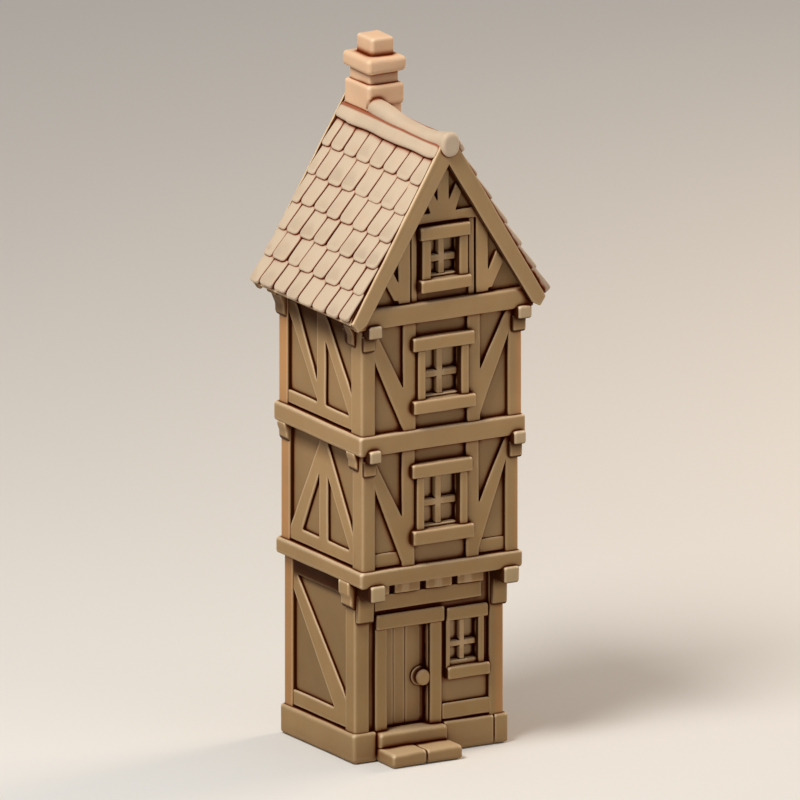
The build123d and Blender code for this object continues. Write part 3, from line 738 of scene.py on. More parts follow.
M_GINFILL = resin("gable_infill", srgb(160, 127, 86), WASH, DEEP, PALE_AND_HIGHLIGHT, grain=(1.0, 1.0, 1.0), grain_amt=0.05, rough=0.68,
                  shade=0.1, broad_shade=0.1, cut=(fall, apex), wash_and_shade_colour=srgb(92, 38, 6))
M_STONE = resin("stone", srgb(171, 140, 100), WASH, DEEP, srgb(228, 202, 166), grain=(1.0, 1.0, 1.0), grain_amt=0.10, rough=0.66,
                shade=0.26, top=0.36, low=0.80, edge_highlight=2.0)
M_DOOR = resin("door", srgb(173, 140, 96), WASH, DEEP, PALE_AND_HIGHLIGHT, grain=(1.0, 1.0, 0.08), grain_amt=0.2, crisp=0.0006, shade=0.3)
M_TILE = resin("roof_tile", srgb(200, 179, 155), RWASH, RDEEP, srgb(205, 184, 159), grain=(1.0, 1.0, 1.0), grain_amt=0.06,
               soft=0.0032, shade=0.2, top=0.0, wash_and_shade_colour=srgb(140, 64, 30))
M_CHIM = resin("chimney_stone", srgb(219, 182, 148), srgb(164, 88, 44), srgb(98, 36, 6), srgb(244, 222, 192), grain_amt=0.08,
               soft=0.0030, shade=0.2, top=0.1, wash_and_shade_colour=srgb(112, 52, 16))


# ---------------------------------------------------------------- plinth, floor, steps
def shrink(lo, hi, d):
    return [a + d for a in lo], [b - d for b in hi]


plo, phi = box("plinth_sides")
slo, shi = box("door_threshold")
bag = Bag()
xl, xr = slo[0] - 0.7, phi[0] - 5.3
yfr = plo[1] + 6.0
rbox(bag, (plo[0], plo[1], 0), (slo[0] + 0.3, phi[1], phi[2]), (1.2, 1.2, 1.2), 3.2, 0.18, seed=2,
     shape=lambda p: (min(p[0], xl) if p[1] > plo[1] + 8 else p[0], p[1], p[2]))
rbox(bag, (xr, plo[1], 0), (phi[0], phi[1], phi[2]), (0.45, 1.2, 1.1), 3.5, 0.18, seed=3)
bag.make("plinth_long_stones", M_STONE, "stone", "plinth_sides")
bag = Bag()
rbox(bag, (shi[0] - 0.3, plo[1] + 0.08, 0.02), (xr - 0.05, yfr, phi[2] - 0.05), (0.4, 1.1, 1.1), 3.5, 0.16, seed=4)
for a, b in ((xl - 0.2, -4.5), (-4.5, 11.0), (11.0, xr + 0.2)):
    rbox(bag, (a, phi[1] - 6.0, 0.02), (b, phi[1] - 0.1, phi[2] - 0.05), (0.4, 1.1, 1.1), 3.5, 0.16, seed=5)
bag.make("plinth_cross_stones", M_STONE, "stone", "plinth_ends")

lo, hi = box("lower_step")
bag = Bag()
split = lo[0] + (hi[0] - lo[0]) * 0.485


def sag(p):
    return (p[0], p[1], p[2] - (0.12 * math.sin((p[0] - lo[0]) * 0.5) if p[2] > 2 else 0))


rbox(bag, (lo[0], lo[1], lo[2]), (split, hi[1] + 0.8, hi[2]), (0.8, 1.5, 1.3), 2.5, 0.16, 9, seed=6, shape=sag)
rbox(bag, (split, lo[1] + 0.25, lo[2]), (hi[0], hi[1] + 0.8, hi[2] - 0.12), (0.8, 1.5, 1.3), 2.5, 0.16, 9, seed=7, shape=sag)
bag.make("lower_step_stones", M_STONE, "stone", "lower_step")
lo, hi = box("door_threshold")
bag = Bag()
rbox(bag, (lo[0], lo[1], box("lower_step")[1][2] - 0.7), (hi[0], hi[1], hi[2]), (1.0, 1.4, 1.3), 2.5, 0.14, 9, seed=8)
rbox(bag, (lo[0] + 0.4, plo[1] + 0.5, 0.2), (hi[0] - 0.4, plo[1] + 4.0, 4.6), 0.4, 4)
bag.make("threshold_stone", M_STONE, "stone", "door_threshold")

# ---------------------------------------------------------------- storeys
STOREYS = []
glo, ghi = box("ground_side_timbers")
for name, side in (("ground", "ground_side_walls"), ("middle", "middle_side_walls"), ("upper", "upper_side_walls")):
    a, b = box(side)
    STOREYS.append((name, a[2], b[2]))

posts = solids("corner_posts")
bag = Bag()
post_in = {}
for s in posts:
    lo, hi = span(s)
    for name, z0, z1 in STOREYS:
        if abs(lo[2] - z0) < 0.1:
            post_in.setdefault(name, []).append((lo, hi))
    rbox(bag, (lo[0], lo[1], lo[2] - 1.2), (hi[0], hi[1], hi[2] + 1.2), 0.8, 3.5, 0.0, tone=0.5)
bag.make("corner_posts_all", M_POST, "timber", "corner_posts", wash_and_shade_mark=post_inner)


def run_on(loop, pts, k, v, far):
    """Vertices on the line k = v slide past it by far, along the edges that reach them."""
    n = len(loop)
    for i, p in enumerate(loop):
        if abs(p[k] - v) > 0.06:
            continue
        moves = []
        for nb in (loop[i - 1], loop[(i + 1) % n]):
            d = p[k] - nb[k]
            if d * far > 0 and abs(d) > 0.3:
                moves.append((p - nb) * abs(far / d))
        if moves:
            pts[i] = pts[i] + sum(moves) / len(moves)
        else:
            pts[i][k] += far


def panel_loops(solid, wall, name):
    """Outline loops of a framing panel, run on into the posts and the bands."""
    n, place, flat, ax = FLAT[wall]
    z0, z1 = next((a, b) for k, a, b in STOREYS if k == name) if name in ("ground", "middle", "upper") else (-99, 999)
    inner = []
    for lo, hi in post_in.get(name, []):
        if wall in ("front", "back"):
            inner.append(hi[0] if hi[0] < 0 else lo[0])
        else:
            inner.append(hi[1] if hi[1] < 0 else lo[1])
    out = []
    k = 0 if wall in ("front", "back") else 1
    for loop in loops_of(solid, n):
        pts = [p.copy() for p in loop]
        for v in inner:
            run_on(loop, pts, k, v, 1.6 if v > 0 else -1.6)
        run_on(loop, pts, 2, z1, 1.3)
        run_on(loop, pts, 2, z0, -1.3)
        out.append([flat(q) for q in pts])
    out.sort(key=lambda l: -abs(area2(l)))
    return out, place, n, ax


def panel(node, wall, name, mat, slot, title, thick, r, amp, back_off=0.03, only=None, seed=1, fill=6.0, ease=0.45,
          replaces=True):
    bag = Bag()
    for s in solids(node):
        if only and not only(*span(s)):
            continue
        loops, place, n, ax = panel_loops(s, wall, name)
        if not loops:
            continue
        lo, hi = span(s)
        face = (hi[ax] if n[ax] > 0 else lo[ax])
        plane = face - back_off * n[ax]
        slab(bag, loops, place(plane), thick, r, amp=amp, seed=seed, fill=fill, ease=ease, tone=0.5)
    wash_and_shade_mark = None if slot == "infill" else (flank_xz if wall in ("front", "back") else flank_yz)
    return bag.make(title, mat, slot, *([node] if replaces else []), wash_and_shade_mark=wash_and_shade_mark)


# infill walls, then the framing that stands proud of them
for name, z0, z1 in STOREYS:
    panel(name + "_front_wall", "front", name, M_INFILL, "infill", name + "_front_infill", 3.0, 0.3, 0.0, seed=1, fill=5)
    for wall, left_side in (("left", True), ("right", False)):
        panel(name + "_side_walls", wall, name, M_SINFILL, "infill", f"{name}_{wall}_infill", 3.0, 0.3, 0.0,
              only=lambda lo, hi, l=left_side: (hi[0] < 0) == l, fill=5)
        panel(name + "_side_timbers", wall, name, M_TIMBER, "timber", f"{name}_{wall}_framing", 1.6, 0.5, 0.13,
              only=lambda lo, hi, l=left_side: (hi[0] < 0) == l, seed=2, back_off=0.42)
    panel(name + "_front_timbers", "front", name, M_TIMBER, "timber", name + "_front_framing", 1.9, 0.5, 0.13, seed=3)

for name, z0, z1 in STOREYS:
    panel("back_walls", "back", name, M_INFILL, "infill", name + "_back_infill", 3.0, 0.3, 0.0,
          only=lambda lo, hi, z=z0: abs(lo[2] - z) < 0.2, fill=5)
    panel("back_timbers", "back", name, M_TIMBER, "timber", name + "_back_framing", 1.9, 0.5, 0.13,
          only=lambda lo, hi, a=z0, b=z1: lo[2] > a - 0.5 and hi[2] < b + 0.5, seed=4)

def second_face(solid, out):
    """The solid's next level behind its outermost face, and the bounds of what lies on it."""
    ys = levels(solid, 1)
    face, nxt = (ys[0], ys[1]) if out < 0 else (ys[-1], ys[-2])
    found = []
    for loop in loops_of(solid, (0, out, 0), abs(face - nxt)):
        a = np.array(loop)
        found.append((a.min(0), a.max(0)))
    return nxt, found


for wall, node, out in (("front", "middle_front_timbers", -1), ("back", "back_timbers", 1)):
    bag = Bag()
    for s in solids(node):
        lo, hi = span(s)
        if lo[2] < STOREYS[1][1] - 0.5 or hi[2] > STOREYS[1][2] + 0.5:
            continue
        y, found = second_face(s, out)
        a, b = np.min([f[0] for f in found], 0), np.max([f[1] for f in found], 0)
        rbox(bag, (a[0] - 0.6, y, a[2]), (b[0] + 0.6, y - out * 1.6, b[2]), 0.42, 2.6, 0.1, seed=12, tone=0.5)
    bag.make(wall + "_foot_rails", M_TIMBER, "timber")

# bands
for node, seed in (("middle_floor_band", 5), ("upper_floor_band", 6)):
    lo, hi = box(node)
    bag = Bag()
    rbox(bag, lo, hi, 1.05, 3.2, 0.17, 15, seed=seed, tone=0.55)
    bag.make(node + "_board", M_BAND, "timber", node)

# joist ends
bag = Bag()
for s in solids("joist_ends"):
    lo, hi = span(s)
    cut = 0.0 if lo[0] < -20 else (3.2 if lo[0] < -10 or lo[0] > 8 else 4.0)
    rbox(bag, (lo[0] + cut, lo[1], lo[2]), (hi[0], hi[1], hi[2] + 0.8), 0.75, 2.4, 0.1, seed=3, own=0.12)
    if cut:
        rbox(bag, (lo[0], lo[1] + 0.1, lo[2] + 0.1), (lo[0] + cut + 1.6, hi[1], hi[2] - 1.5), 0.75, 2.0, 0.1, seed=3, own=0.12)
bag.make("joist_end_blocks", M_RAIL, "timber", "joist_ends", wash_and_shade_mark=flank_x)

# ---------------------------------------------------------------- door
s = solids("door_frame")[0]
xs, zs, ys = levels(s, 0), levels(s, 2), levels(s, 1)
dx0, dx1 = xs[0], xs[-1]
lo, hi = span(s)
inner = [x for x in xs if lo[0] + 2 < x < hi[0] - 2]
jl, jr = min(inner), max(x for x in inner if x < 3)
head = [z for z in zs if z > 40][0]
yf = min(ys)
ywall = max(ys)
yjamb = sorted(ys)[1]
bag = Bag()
rbox(bag, (lo[0], yjamb, lo[2] - 0.5), (jl, ywall + 0.6, head + 0.6), 0.6, 3.2, 0.12, seed=11)
rbox(bag, (jr, yjamb, lo[2] - 0.5), (5.0, ywall + 0.6, head + 0.6), 0.6, 3.2, 0.12, seed=12)
bag.make("door_jambs", M_TIMBER, "timber", "door_frame", wash_and_shade_mark=flank_x)
bag = Bag()
rbox(bag, (lo[0], yf, head), (hi[0], ywall + 0.5, hi[2]), 0.85, 3.2, 0.14, seed=13)
bag.make("door_lintel", M_RAIL, "timber", wash_and_shade_mark=flank_x)
lo, hi = box("door_leaf")
bag = Bag()
cuts = [0.0, 0.285, 0.565, 0.925, 1.0]
w = jr - jl
for i in range(4):
    a, b = jl + w * cuts[i], jl + w * cuts[i + 1]
    a, b = (lo[0] if i == 0 else a), (hi[0] if i == 3 else b)
    rbox(bag, (a, lo[1] + 0.12 * (i % 2), lo[2]), (b, hi[1] + 0.5, hi[2]), (0.3, 0.3, 0.3), 3.0, 0.05, seed=14, own=0.04)
bag.make("door_planks", M_DOOR, "door", "door_leaf")
lo, hi = box("door_knob")
R = (hi[2] - lo[2]) / 2
cx, cz = lo[0] + R, (lo[2] + hi[2]) / 2
D = hi[1] - lo[1]
bag = Bag()
turned(bag, (cx, hi[1] + 0.2, cz), [(R, 0.0), (R, 0.6), (R - 0.12, 0.9), (R - 0.45, 1.08), (R * 0.62, 1.15), (R * 0.54, 1.3),
                                   (R * 0.52, 1.6), (R * 0.52, D - 2.1), (R * 0.6, D - 1.9), (R * 0.74, D - 1.6),
                                   (R * 0.80, D - 1.1), (R * 0.79, D - 0.6), (R * 0.72, D - 0.2), (R * 0.58, D + 0.06),
                                   (R * 0.35, D + 0.17), (R * 0.12, D + 0.2)])
bag.make("door_knob_turned", M_DOOR, "door", "door_knob")


# ---------------------------------------------------------------- windows
def window(title, s, wall, pane, y_bar, r=0.75, seed=1, ground=False):
    """Casings, lintel, sill, bars and pane around one opening, read from the levels of its CAD solid."""
    out = -1 if wall == "front" else 1
    lo, hi = span(s)
    xs, zs = levels(s, 0), levels(s, 2)
    plo, phi = pane
    ox0, ox1, oz0, oz1 = plo[0], phi[0], plo[2], phi[2]
    yw = hi[1] if wall == "front" else lo[1]
    yin = yw - out * 0.6
    # depths of casing, lintel and sill faces
    ydepth = sorted((abs(v - yw) for v in levels(s, 1)), reverse=True)
    d_sill, d_lint = ydepth[0], ydepth[1]
    d_case = ydepth[2] if len(ydepth) > 3 else ydepth[1]
    bag = Bag()
    case_w = 3.2 if not ground else 0
    cl = [x for x in xs if x < ox0 - 0.3]
    cr = [x for x in xs if x > ox1 + 0.3]
    cx0, cx1 = max(cl), min(cr)
    for a, b in ((cx0, ox0 + 0.15), (ox1 - 0.15, cx1)):
        rbox(bag, (a, yin, oz0 - 0.8), (b, yw + out * d_case, oz1 + 0.8), 0.55, 3.0, 0.08, seed=seed)
    bag.make(title + "_casings", M_TIMBER, "timber", wash_and_shade_mark=flank_x)
    bag = Bag()
    rbox(bag, (lo[0], yin, oz1 + 0.05), (hi[0] - 0.3, yw + out * d_lint, hi[2]), r, 2.6, 0.13, 10, seed=seed + 1)
    rbox(bag, (lo[0] + 0.0, yin, lo[2]), (hi[0], yw + out * d_sill, oz0 - 0.05), r + 0.1, 2.6, 0.13, 10, seed=seed + 2)
    bag.make(title + "_lintel_and_sill", M_RAIL, "timber", wash_and_shade_mark=flank_x)
    bag = Bag()
    yp = plo[1] if wall == "front" else phi[1]
    rbox(bag, (ox0 - 0.3, min(plo[1], phi[1]), oz0 - 0.3), (ox1 + 0.3, max(plo[1], phi[1]), oz1 + 0.3), 0.2, 4.0, 0.05)
    bag.make(title + "_blind_pane", M_PANE, "infill")
    bag = Bag()
    cxm, czm = (ox0 + ox1) / 2, oz0 + (oz1 - oz0) * 0.46
    bw = 1.15 if not ground else 0.95
    rbox(bag, (cxm - bw, yp - out * 0.4, oz0 - 0.4), (cxm + bw, y_bar, oz1 + 0.4), 0.5, 2.4, 0.07, seed=seed + 3)
    rbox(bag, (ox0 - 0.4, yp - out * 0.4, czm - bw), (ox1 + 0.4, y_bar - out * 0.04, czm + bw), 0.5, 2.4, 0.07, seed=seed + 4)
    rbox(bag, (ox0 - 0.2, yp - out * 0.4, oz0 - 0.5), (ox1 + 0.2, y_bar + out * 0.5, oz0 + (1.55 if ground else 0.75)), 0.4,
         2.4, 0.05, seed=seed)
    bag.make(title + "_bars", M_BAR, "timber")


panes = [span(s) for s in solids("window_panes")]
fronts = solids("front_window_frames")
backs = solids("back_window_frames")
k = 0
for wall, group in (("front", fronts), ("back", backs)):
    for i, s in enumerate(group):
        lo, hi = span(s)
        mid = (lo + hi) / 2
        pane = min(panes, key=lambda p: abs((p[0][2] + p[1][2]) / 2 - mid[2]) + abs((p[0][0] + p[1][0]) / 2 - mid[0])
                   + (0 if ((p[0][1] < 0) == (wall == "front")) else 500))
        out = -1 if wall == "front" else 1
        yw = hi[1] if wall == "front" else lo[1]
        window(f"{wall}_window_{i + 1}", s, wall, pane, yw, seed=20 + k, ground=(mid[2] < 60))
        k += 4
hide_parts("front_window_frames", "window_panes")
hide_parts("back_window_frames")


# ---------------------------------------------------------------- brackets
bag = Bag()
HOLLOWS = []
blocks = Bag()
for s in solids("front_brackets"):
    lo, hi = span(s)
    zl, yl = levels(s, 2), levels(s, 1)
    xl_ = levels(s, 0)
    left_side = hi[0] < 0
    # the upper block, which carries the overhang, and the corbel under it
    zc = [z for z in zl if lo[2] + 3 < z < hi[2] - 1.5]
    zmid = zc[0] if zc else (lo[2] + hi[2]) / 2
    pts = s[2]
    up = pts[pts[:, 2] > zmid + 0.1]
    dn = pts[pts[:, 2] < zmid - 0.1]
    rbox(blocks, (up[:, 0].min(), lo[1], zmid), (up[:, 0].max(), hi[1], hi[2]), 0.95, 2.2, 0.08, seed=31, own=0.06, tone=0.5)
    if lo[1] < dn[:, 1].min() - 2.0:
        HOLLOWS.append((lo[2], zmid, dn[:, 0].min(), dn[:, 0].max(), dn[:, 1].min()))

    def ease_in(p, z0=lo[2], z1=zmid, y0=hi[1]):
        t = max(0.0, min(1.0, (p[2] - z0) / (z1 - z0)))
        k = 0.82 + 0.18 * t
        return (p[0], y0 + (p[1] - y0) * k, p[2])

    rbox(bag, (dn[:, 0].min(), dn[:, 1].min(), lo[2]), (dn[:, 0].max(), hi[1], zmid + 0.9), 0.95, 2.2, 0.08, seed=32,
         own=0.06, shape=ease_in)


def corbel_wash_and_shade(p, n):
    """Dark wash on the flanks, painted shade on the faces that look down, and painted shade in the hollow where the
    corbel runs in under its block.
    """
    best = max(0.98 * smooth(abs(n[0]), 0.55, 0.9), 0.9 * smooth(-n[2], 0.5, 0.85))
    for z_low, z_mid, x_a, x_b, y_face in HOLLOWS:
        if x_a - 1 < p[0] < x_b + 1 and z_low - 1 < p[2] < z_mid + 0.6:
            if z_low < 60:
                best *= 0.35 + 0.65 * min(1.0, max(0.0, (p[2] - z_low) / (z_mid - z_low)))
            best = max(best, 0.94 * smooth(-n[2], 0.06, 0.30), 0.0 if z_low < 60 else 0.9 * smooth(-n[0], 0.25, 0.6))
            if p[1] < y_face + 1.5:
                h = min(1.0, max(0.0, (p[2] - (z_mid - 3.2)) / 2.4))
                best = max(best, 0.9 * h * h * (3 - 2 * h))
    return best


# beam ends: dark wash on the flanks, painted shade on the faces that look down
blocks.make("front_beam_ends", M_BLOCK, "timber", wash_and_shade_mark=lambda p, n: max(0.98 * smooth(abs(n[0]), 0.62, 0.92), 0.92 * smooth(-n[2], 0.28, 0.6)))
bag.make("front_corbels", M_TIMBER, "timber", "front_brackets", wash_and_shade_mark=corbel_wash_and_shade)
bag = Bag()
FEET = []
for s in solids("side_brackets"):
    lo, hi = span(s)
    FEET.append((lo, hi))
    sx = 1 if lo[0] > 0 else -1
    base = lo[0] if sx > 0 else hi[0]
    loops = []
    for l in loops_of(s, (0, -1, 0)):
        run = []
        for p in l:
            x, z = p[0], p[2]
            if abs(x - base) < 0.05:
                x = base - sx * 1.4
            if abs(z - hi[2]) < 0.05:
                z += 0.7
            run.append((x, z))
        loops.append(run)
    slab(bag, loops, front(lo[1]), hi[1] - lo[1], 0.6, ease=0.9, step=1.2, fill=2.5, amp=0.08, size=5, seed=33)


def scroll_foot_shade(p, n):
    """Painted shade: a dark line along the lower end of each scroll, on the faces that look down."""
    for lo, hi in FEET:
        if lo[2] - 0.5 < p[2] < lo[2] + 1.5 and lo[1] - 0.5 < p[1] < hi[1] + 0.5 and p[0] * lo[0] > 0:
            return max(underside_shade(p, n), 0.92 * smooth(-n[2], 0.08, 0.35))
    return underside_shade(p, n)


bag.make("side_corbels", M_TIMBER, "timber", "side_brackets", wash_and_shade_mark=scroll_foot_shade)

# ---------------------------------------------------------------- gables
wp = Bag()
for s in solids("wall_plates"):
    loops = [[(p[0], p[2]) for p in l] for l in loops_of(s, (0, -1, 0))]
    lo, hi = span(s)
    slab(wp, loops, front(lo[1]), hi[1] - lo[1], 0.3)
wp.make("wall_plate_boards", M_TIMBER, "timber", "wall_plates")

bag = Bag()
for s in solids("tie_beams"):
    lo, hi = span(s)
    top = s[2][s[2][:, 2] > hi[2] - 0.1]
    x1 = top[:, 0].max()
    rbox(bag, (-x1 - 0.2, lo[1], lo[2]), (x1 + 0.2, hi[1], hi[2]), 0.95, 3.2, 0.14, seed=41, tone=0.5)
bag.make("tie_beam_boards", M_RAIL, "timber", "tie_beams")

for wall in ("front", "back"):
    f = wall == "front"
    panel("gable_walls", wall, "gable", M_GINFILL, "infill", wall + "_gable_infill", 3.0, 0.3, 0.0,
          only=lambda lo, hi: (hi[1] < 0) == f, fill=5)
    panel("gable_timbers", wall, "gable", M_GABLE, "timber", wall + "_gable_framing", 1.8, 0.5, 0.12,
          only=lambda lo, hi: (hi[1] < 0) == f, seed=6)

for wall, out in (("front", -1), ("back", 1)):
    bag = Bag()
    for s in solids("gable_timbers"):
        lo, hi = span(s)
        if (hi[1] < 0) != (out < 0) or len(levels(s, 1)) < 3:
            continue
        y, found = second_face(s, out)
        for a, b in found:
            rbox(bag, (a[0], y, a[2] - 0.8), (b[0], y - out * 1.6, b[2] + 0.8), 0.4, 2.6, 0.08, seed=13, tone=0.5)
    bag.make(wall + "_gable_strips", M_GABLE, "timber", wash_and_shade_mark=flank_x)

for node in ("left_barge_boards", "right_barge_boards"):
    bag = Bag()
    for s in solids(node):
        lo, hi = span(s)
        f = hi[1] < 0
        n = (0, -1, 0) if f else (0, 1, 0)
        loops = loops_of(s, n)
        web = loops_of(s, (0, 1, 0) if f else (0, -1, 0))
        sx = -1 if lo[0] < -5 else 1
        loops = [[Vector((-0.9 * sx if abs(p[0]) < 0.3 else p[0], p[1], p[2])) for p in l] for l in loops]
        nudge = 0.05 if sx > 0 else 0.0
        if f:
            slab(bag, [[(p[0], p[2]) for p in l] for l in loops], front(lo[1] - nudge), 1.5, 0.6, amp=0.14, size=12, seed=7, tone=0.5)
            slab(bag, [[(p[0], p[2]) for p in l] for l in web], front(lo[1] + 1.2), hi[1] - lo[1] - 1.2, 0.2, amp=0.14, size=12,
                 seed=7, tone=0.6)
        else:
            slab(bag, [[(-p[0], p[2]) for p in l] for l in loops], back(hi[1] + nudge), 1.5, 0.6, amp=0.14, size=12, seed=8, tone=0.5)
            slab(bag, [[(-p[0], p[2]) for p in l] for l in web], back(hi[1] - 1.2), hi[1] - lo[1] - 1.2, 0.2, amp=0.14, size=12,
                 seed=8, tone=0.6)
    bag.make(node + "_cut", M_TIMBER, "timber", node, wash_and_shade_mark=barge_inner)

# ---------------------------------------------------------------- roof
COURSES = [-0.7, 9.1, 19.2, 29.3, 39.9, 50.9]
JOINTS = [
    ((-29.5, -21.0, -12.0, -2.8, 5.6, 14.2, 23.8), (-30.2, -22.2, -13.0, -4.2, 4.4, 13.0, 22.0)),
    ((-29.0, -20.3, -11.2, -2.5, 6.2, 14.5, 23.8), (-30.2, -21.5, -12.8, -3.8, 4.8, 13.5, 22.5)),
    ((-28.6, -20.0, -10.8, -1.8, 6.5, 15.5, 24.0), (-30.0, -21.0, -12.3, -3.0, 5.3, 14.3, 23.0)),
    ((-27.9, -19.5, -10.5, -1.8, 7.0, 15.8, 24.5), (-29.5, -20.7, -11.7, -2.5, 5.6, 14.2, 23.3)),
    ((-28.0, -19.3, -10.5, -1.2, 7.2, 15.8, 24.3), (-29.3, -20.7, -11.7, -2.5, 6.0, 14.8, 23.7)),
    ((-28.2, -19.4, -10.2, -1.3, 7.4, 16.3, 24.5), (-29.3, -20.6, -11.3, -1.9, 6.8, 16.0, 24.0)),
]
for side, node in ((-1, "left_roof_slope"), (1, "right_roof_slope")):
    s = solids(node)[0]
    pts = s[2]
    lo, hi = span(s)
    # the four corners of the slope's section
    sec = sorted({(round(float(abs(p[0])), 2), round(float(p[2]), 2)) for p in pts})
    eave = max(sec, key=lambda q: q[0])
    low = min(sec, key=lambda q: q[1])
    topc = max(sec, key=lambda q: q[1])
    inn = min((q for q in sec if abs(q[0] - topc[0]) < 0.1), key=lambda q: q[1])
    L = math.hypot(eave[0] - topc[0], eave[1] - topc[1])
    ca, sa = (eave[0] - topc[0]) / L, (topc[1] - eave[1]) / L
    U = Vector((-side * ca, 0, sa))
    N = Vector((side * sa, 0, ca))
    O = Vector((side * eave[0], 0, eave[1]))

    def place(a, b, c, side=side, U=U, N=N, O=O):
        # a runs along the roof so that a, b and the outward normal are right handed
        p = O + U * b + N * c
        p.y = a * side
        return p

    bag = Bag()
    e2 = (eave[0] - 0.7 - 1.3 * sa, eave[1] - 1.3 * ca + 0.6)
    t2 = (topc[0], topc[1] - 1.7)
    poly = [(side * e2[0], e2[1]), (side * t2[0], t2[1]), (side * inn[0], inn[1]), (side * low[0], low[1])]
    slab(bag, [poly], front(lo[1] + 0.5), hi[1] - lo[1] - 1.0, 0.3, tone=0.4)
    bag.make(node + "_boards", M_TIMBER, "roof_tile", node)

    bag = Bag()
    rr = random.Random(5 if side < 0 else 11)
    for ci, s0 in enumerate(COURSES):
        bot, top_ = JOINTS[ci]
        yb = [lo[1] + 0.2] + [j + rr.uniform(-0.15, 0.15) for j in bot] + [hi[1] - 0.35 + rr.uniform(-0.5, 0.25)]
        yt = [lo[1] + 0.2] + list(top_) + [hi[1] - 0.5]
        s1 = (COURSES[ci + 1] if ci < 5 else L - 6.4) + 1.6
        for k in range(8):
            g = 0.2
            b0 = s0 + rr.uniform(-0.35, 0.35)
            a0, a1 = yb[k] + g, yb[k + 1] - g
            c0, c1 = yt[k] + g, yt[k + 1] - g
            if side < 0:
                poly = [(-a1, b0), (-a0, b0), (-c0, s1), (-c1, s1)]
            else:
                poly = [(a0, b0), (a1, b0), (c1, s1), (c0, s1)]
            mid_a = sum(p[0] for p in poly) / 4
            half = (a1 - a0) / 2
            big = 4.6 if (k == 0 and ci == 2) else 0.0
            front_a = -a0 if side < 0 else a0

            def ease(p, b0=b0, fa=front_a, big=big):
                if p[1] < b0 + 3:
                    return big if big and abs(p[0] - fa) < 0.1 else 2.4
                return 0.3

            lift = 1.15 + rr.uniform(-0.15, 0.2)
            roll = rr.uniform(-0.16, 0.16)
            base = (-0.72 if side < 0 else 0.5) + rr.uniform(-0.12, 0.12)

            def crown(a, b, b0=b0, s1=s1, m=mid_a, h=half, lift=lift, roll=roll, base=base):
                t = (b - b0) / (s1 - b0)
                x = (a - m) / h
                nose = max(0.0, 1.0 - (b - b0) / 3.2)
                return base + lift * (1 - t) - 0.24 * x * x + roll * x - 0.42 * nose * nose

            slab(bag, [poly], place, 1.25, 0.6, ease=ease, step=2.6, fill=2.4, amp=0.10, size=6.0, seed=9 + ci, crown=crown,
                 tone=rr.random())
    bag.make(("left" if side < 0 else "right") + "_roof_tiles", M_TILE, "roof_tile")

# ---------------------------------------------------------------- ridge
rlo, rhi = box("ridge_cap")
roll_end = box("chimney_shaft")[0][1] + 4.5
topline = [(-39.0, 218.7), (-34.0, 217.6), (-27.0, 216.4), (-20.0, 216.1), (-13.0, 216.3), (-8.0, 216.5), (-2.8, 217.2),
           (3.2, 218.0), (8.6, 218.55), (14.0, 219.0), (40.0, 219.0)]


def height(y):
    for (a, za), (b, zb) in zip(topline, topline[1:]):
        if y <= b:
            t = (y - a) / (b - a)
            t = t * t * (3 - 2 * t) * 0.35 + t * 0.65
            return za + (zb - za) * t
    return topline[-1][1]


bag = Bag()
rows = []
m = 28
y0, y1 = rlo[1], roll_end
end = 1.7
stations = [(y0, 0.3)]
for i in range(7):
    t = i / 6
    stations.append((y0 + end * (1 - math.cos(t * math.pi / 2)), 0.60 + 0.40 * math.sin(t * math.pi / 2)))
n = 46
for i in range(1, n):
    stations.append((y0 + end + (y1 - y0 - 2 * end) * i / n, 1.0))
for i in range(7):
    t = 1 - i / 6
    stations.append((y1 - end * (1 - math.cos(t * math.pi / 2)), 0.60 + 0.40 * math.sin(t * math.pi / 2)))
stations.append((y1, 0.3))
for y, k in stations:
    zt = height(y)
    bulb = max(0.0, 1 - (y - y0) / 7.0)
    bulb = bulb * bulb
    back_b = max(0.0, 1 - (y1 - y) / 7.0) ** 2
    hw = 3.3 + 0.35 * bulb - 0.25 * min(1.0, max(0.0, (y - 8.0) / 3.5))
    hh = 3.5 + 1.15 * bulb
    cz = zt - hh
    row = []
    for j in range(m):
        a = 2 * math.pi * j / m
        ca_, sa_ = math.cos(a), math.sin(a)
        sx = math.copysign(abs(ca_) ** 0.9, ca_)
        sz = math.copysign(abs(sa_) ** 0.9, sa_)
        p = (hw * k * sx, y, cz + hh * k * sz)
        w = wave(p, 9.0, 3.3)
        row.append((p[0] + w[0] * 0.12, p[1] + w[1] * 0.06, p[2] + w[2] * 0.12))
    rows.append(row)
loft(bag, rows, 0.55)
# low capping behind the chimney
cz1 = box("chimney_shaft")[1][1]
rbox(bag, (-3.0, cz1 - 0.6, 211.6), (3.0, rhi[1] - 1.2, 215.0), 1.6, 2.2, 0.12, seed=44, tone=0.55)
bag.make("ridge_roll", M_TILE, "roof_tile", "ridge_cap")

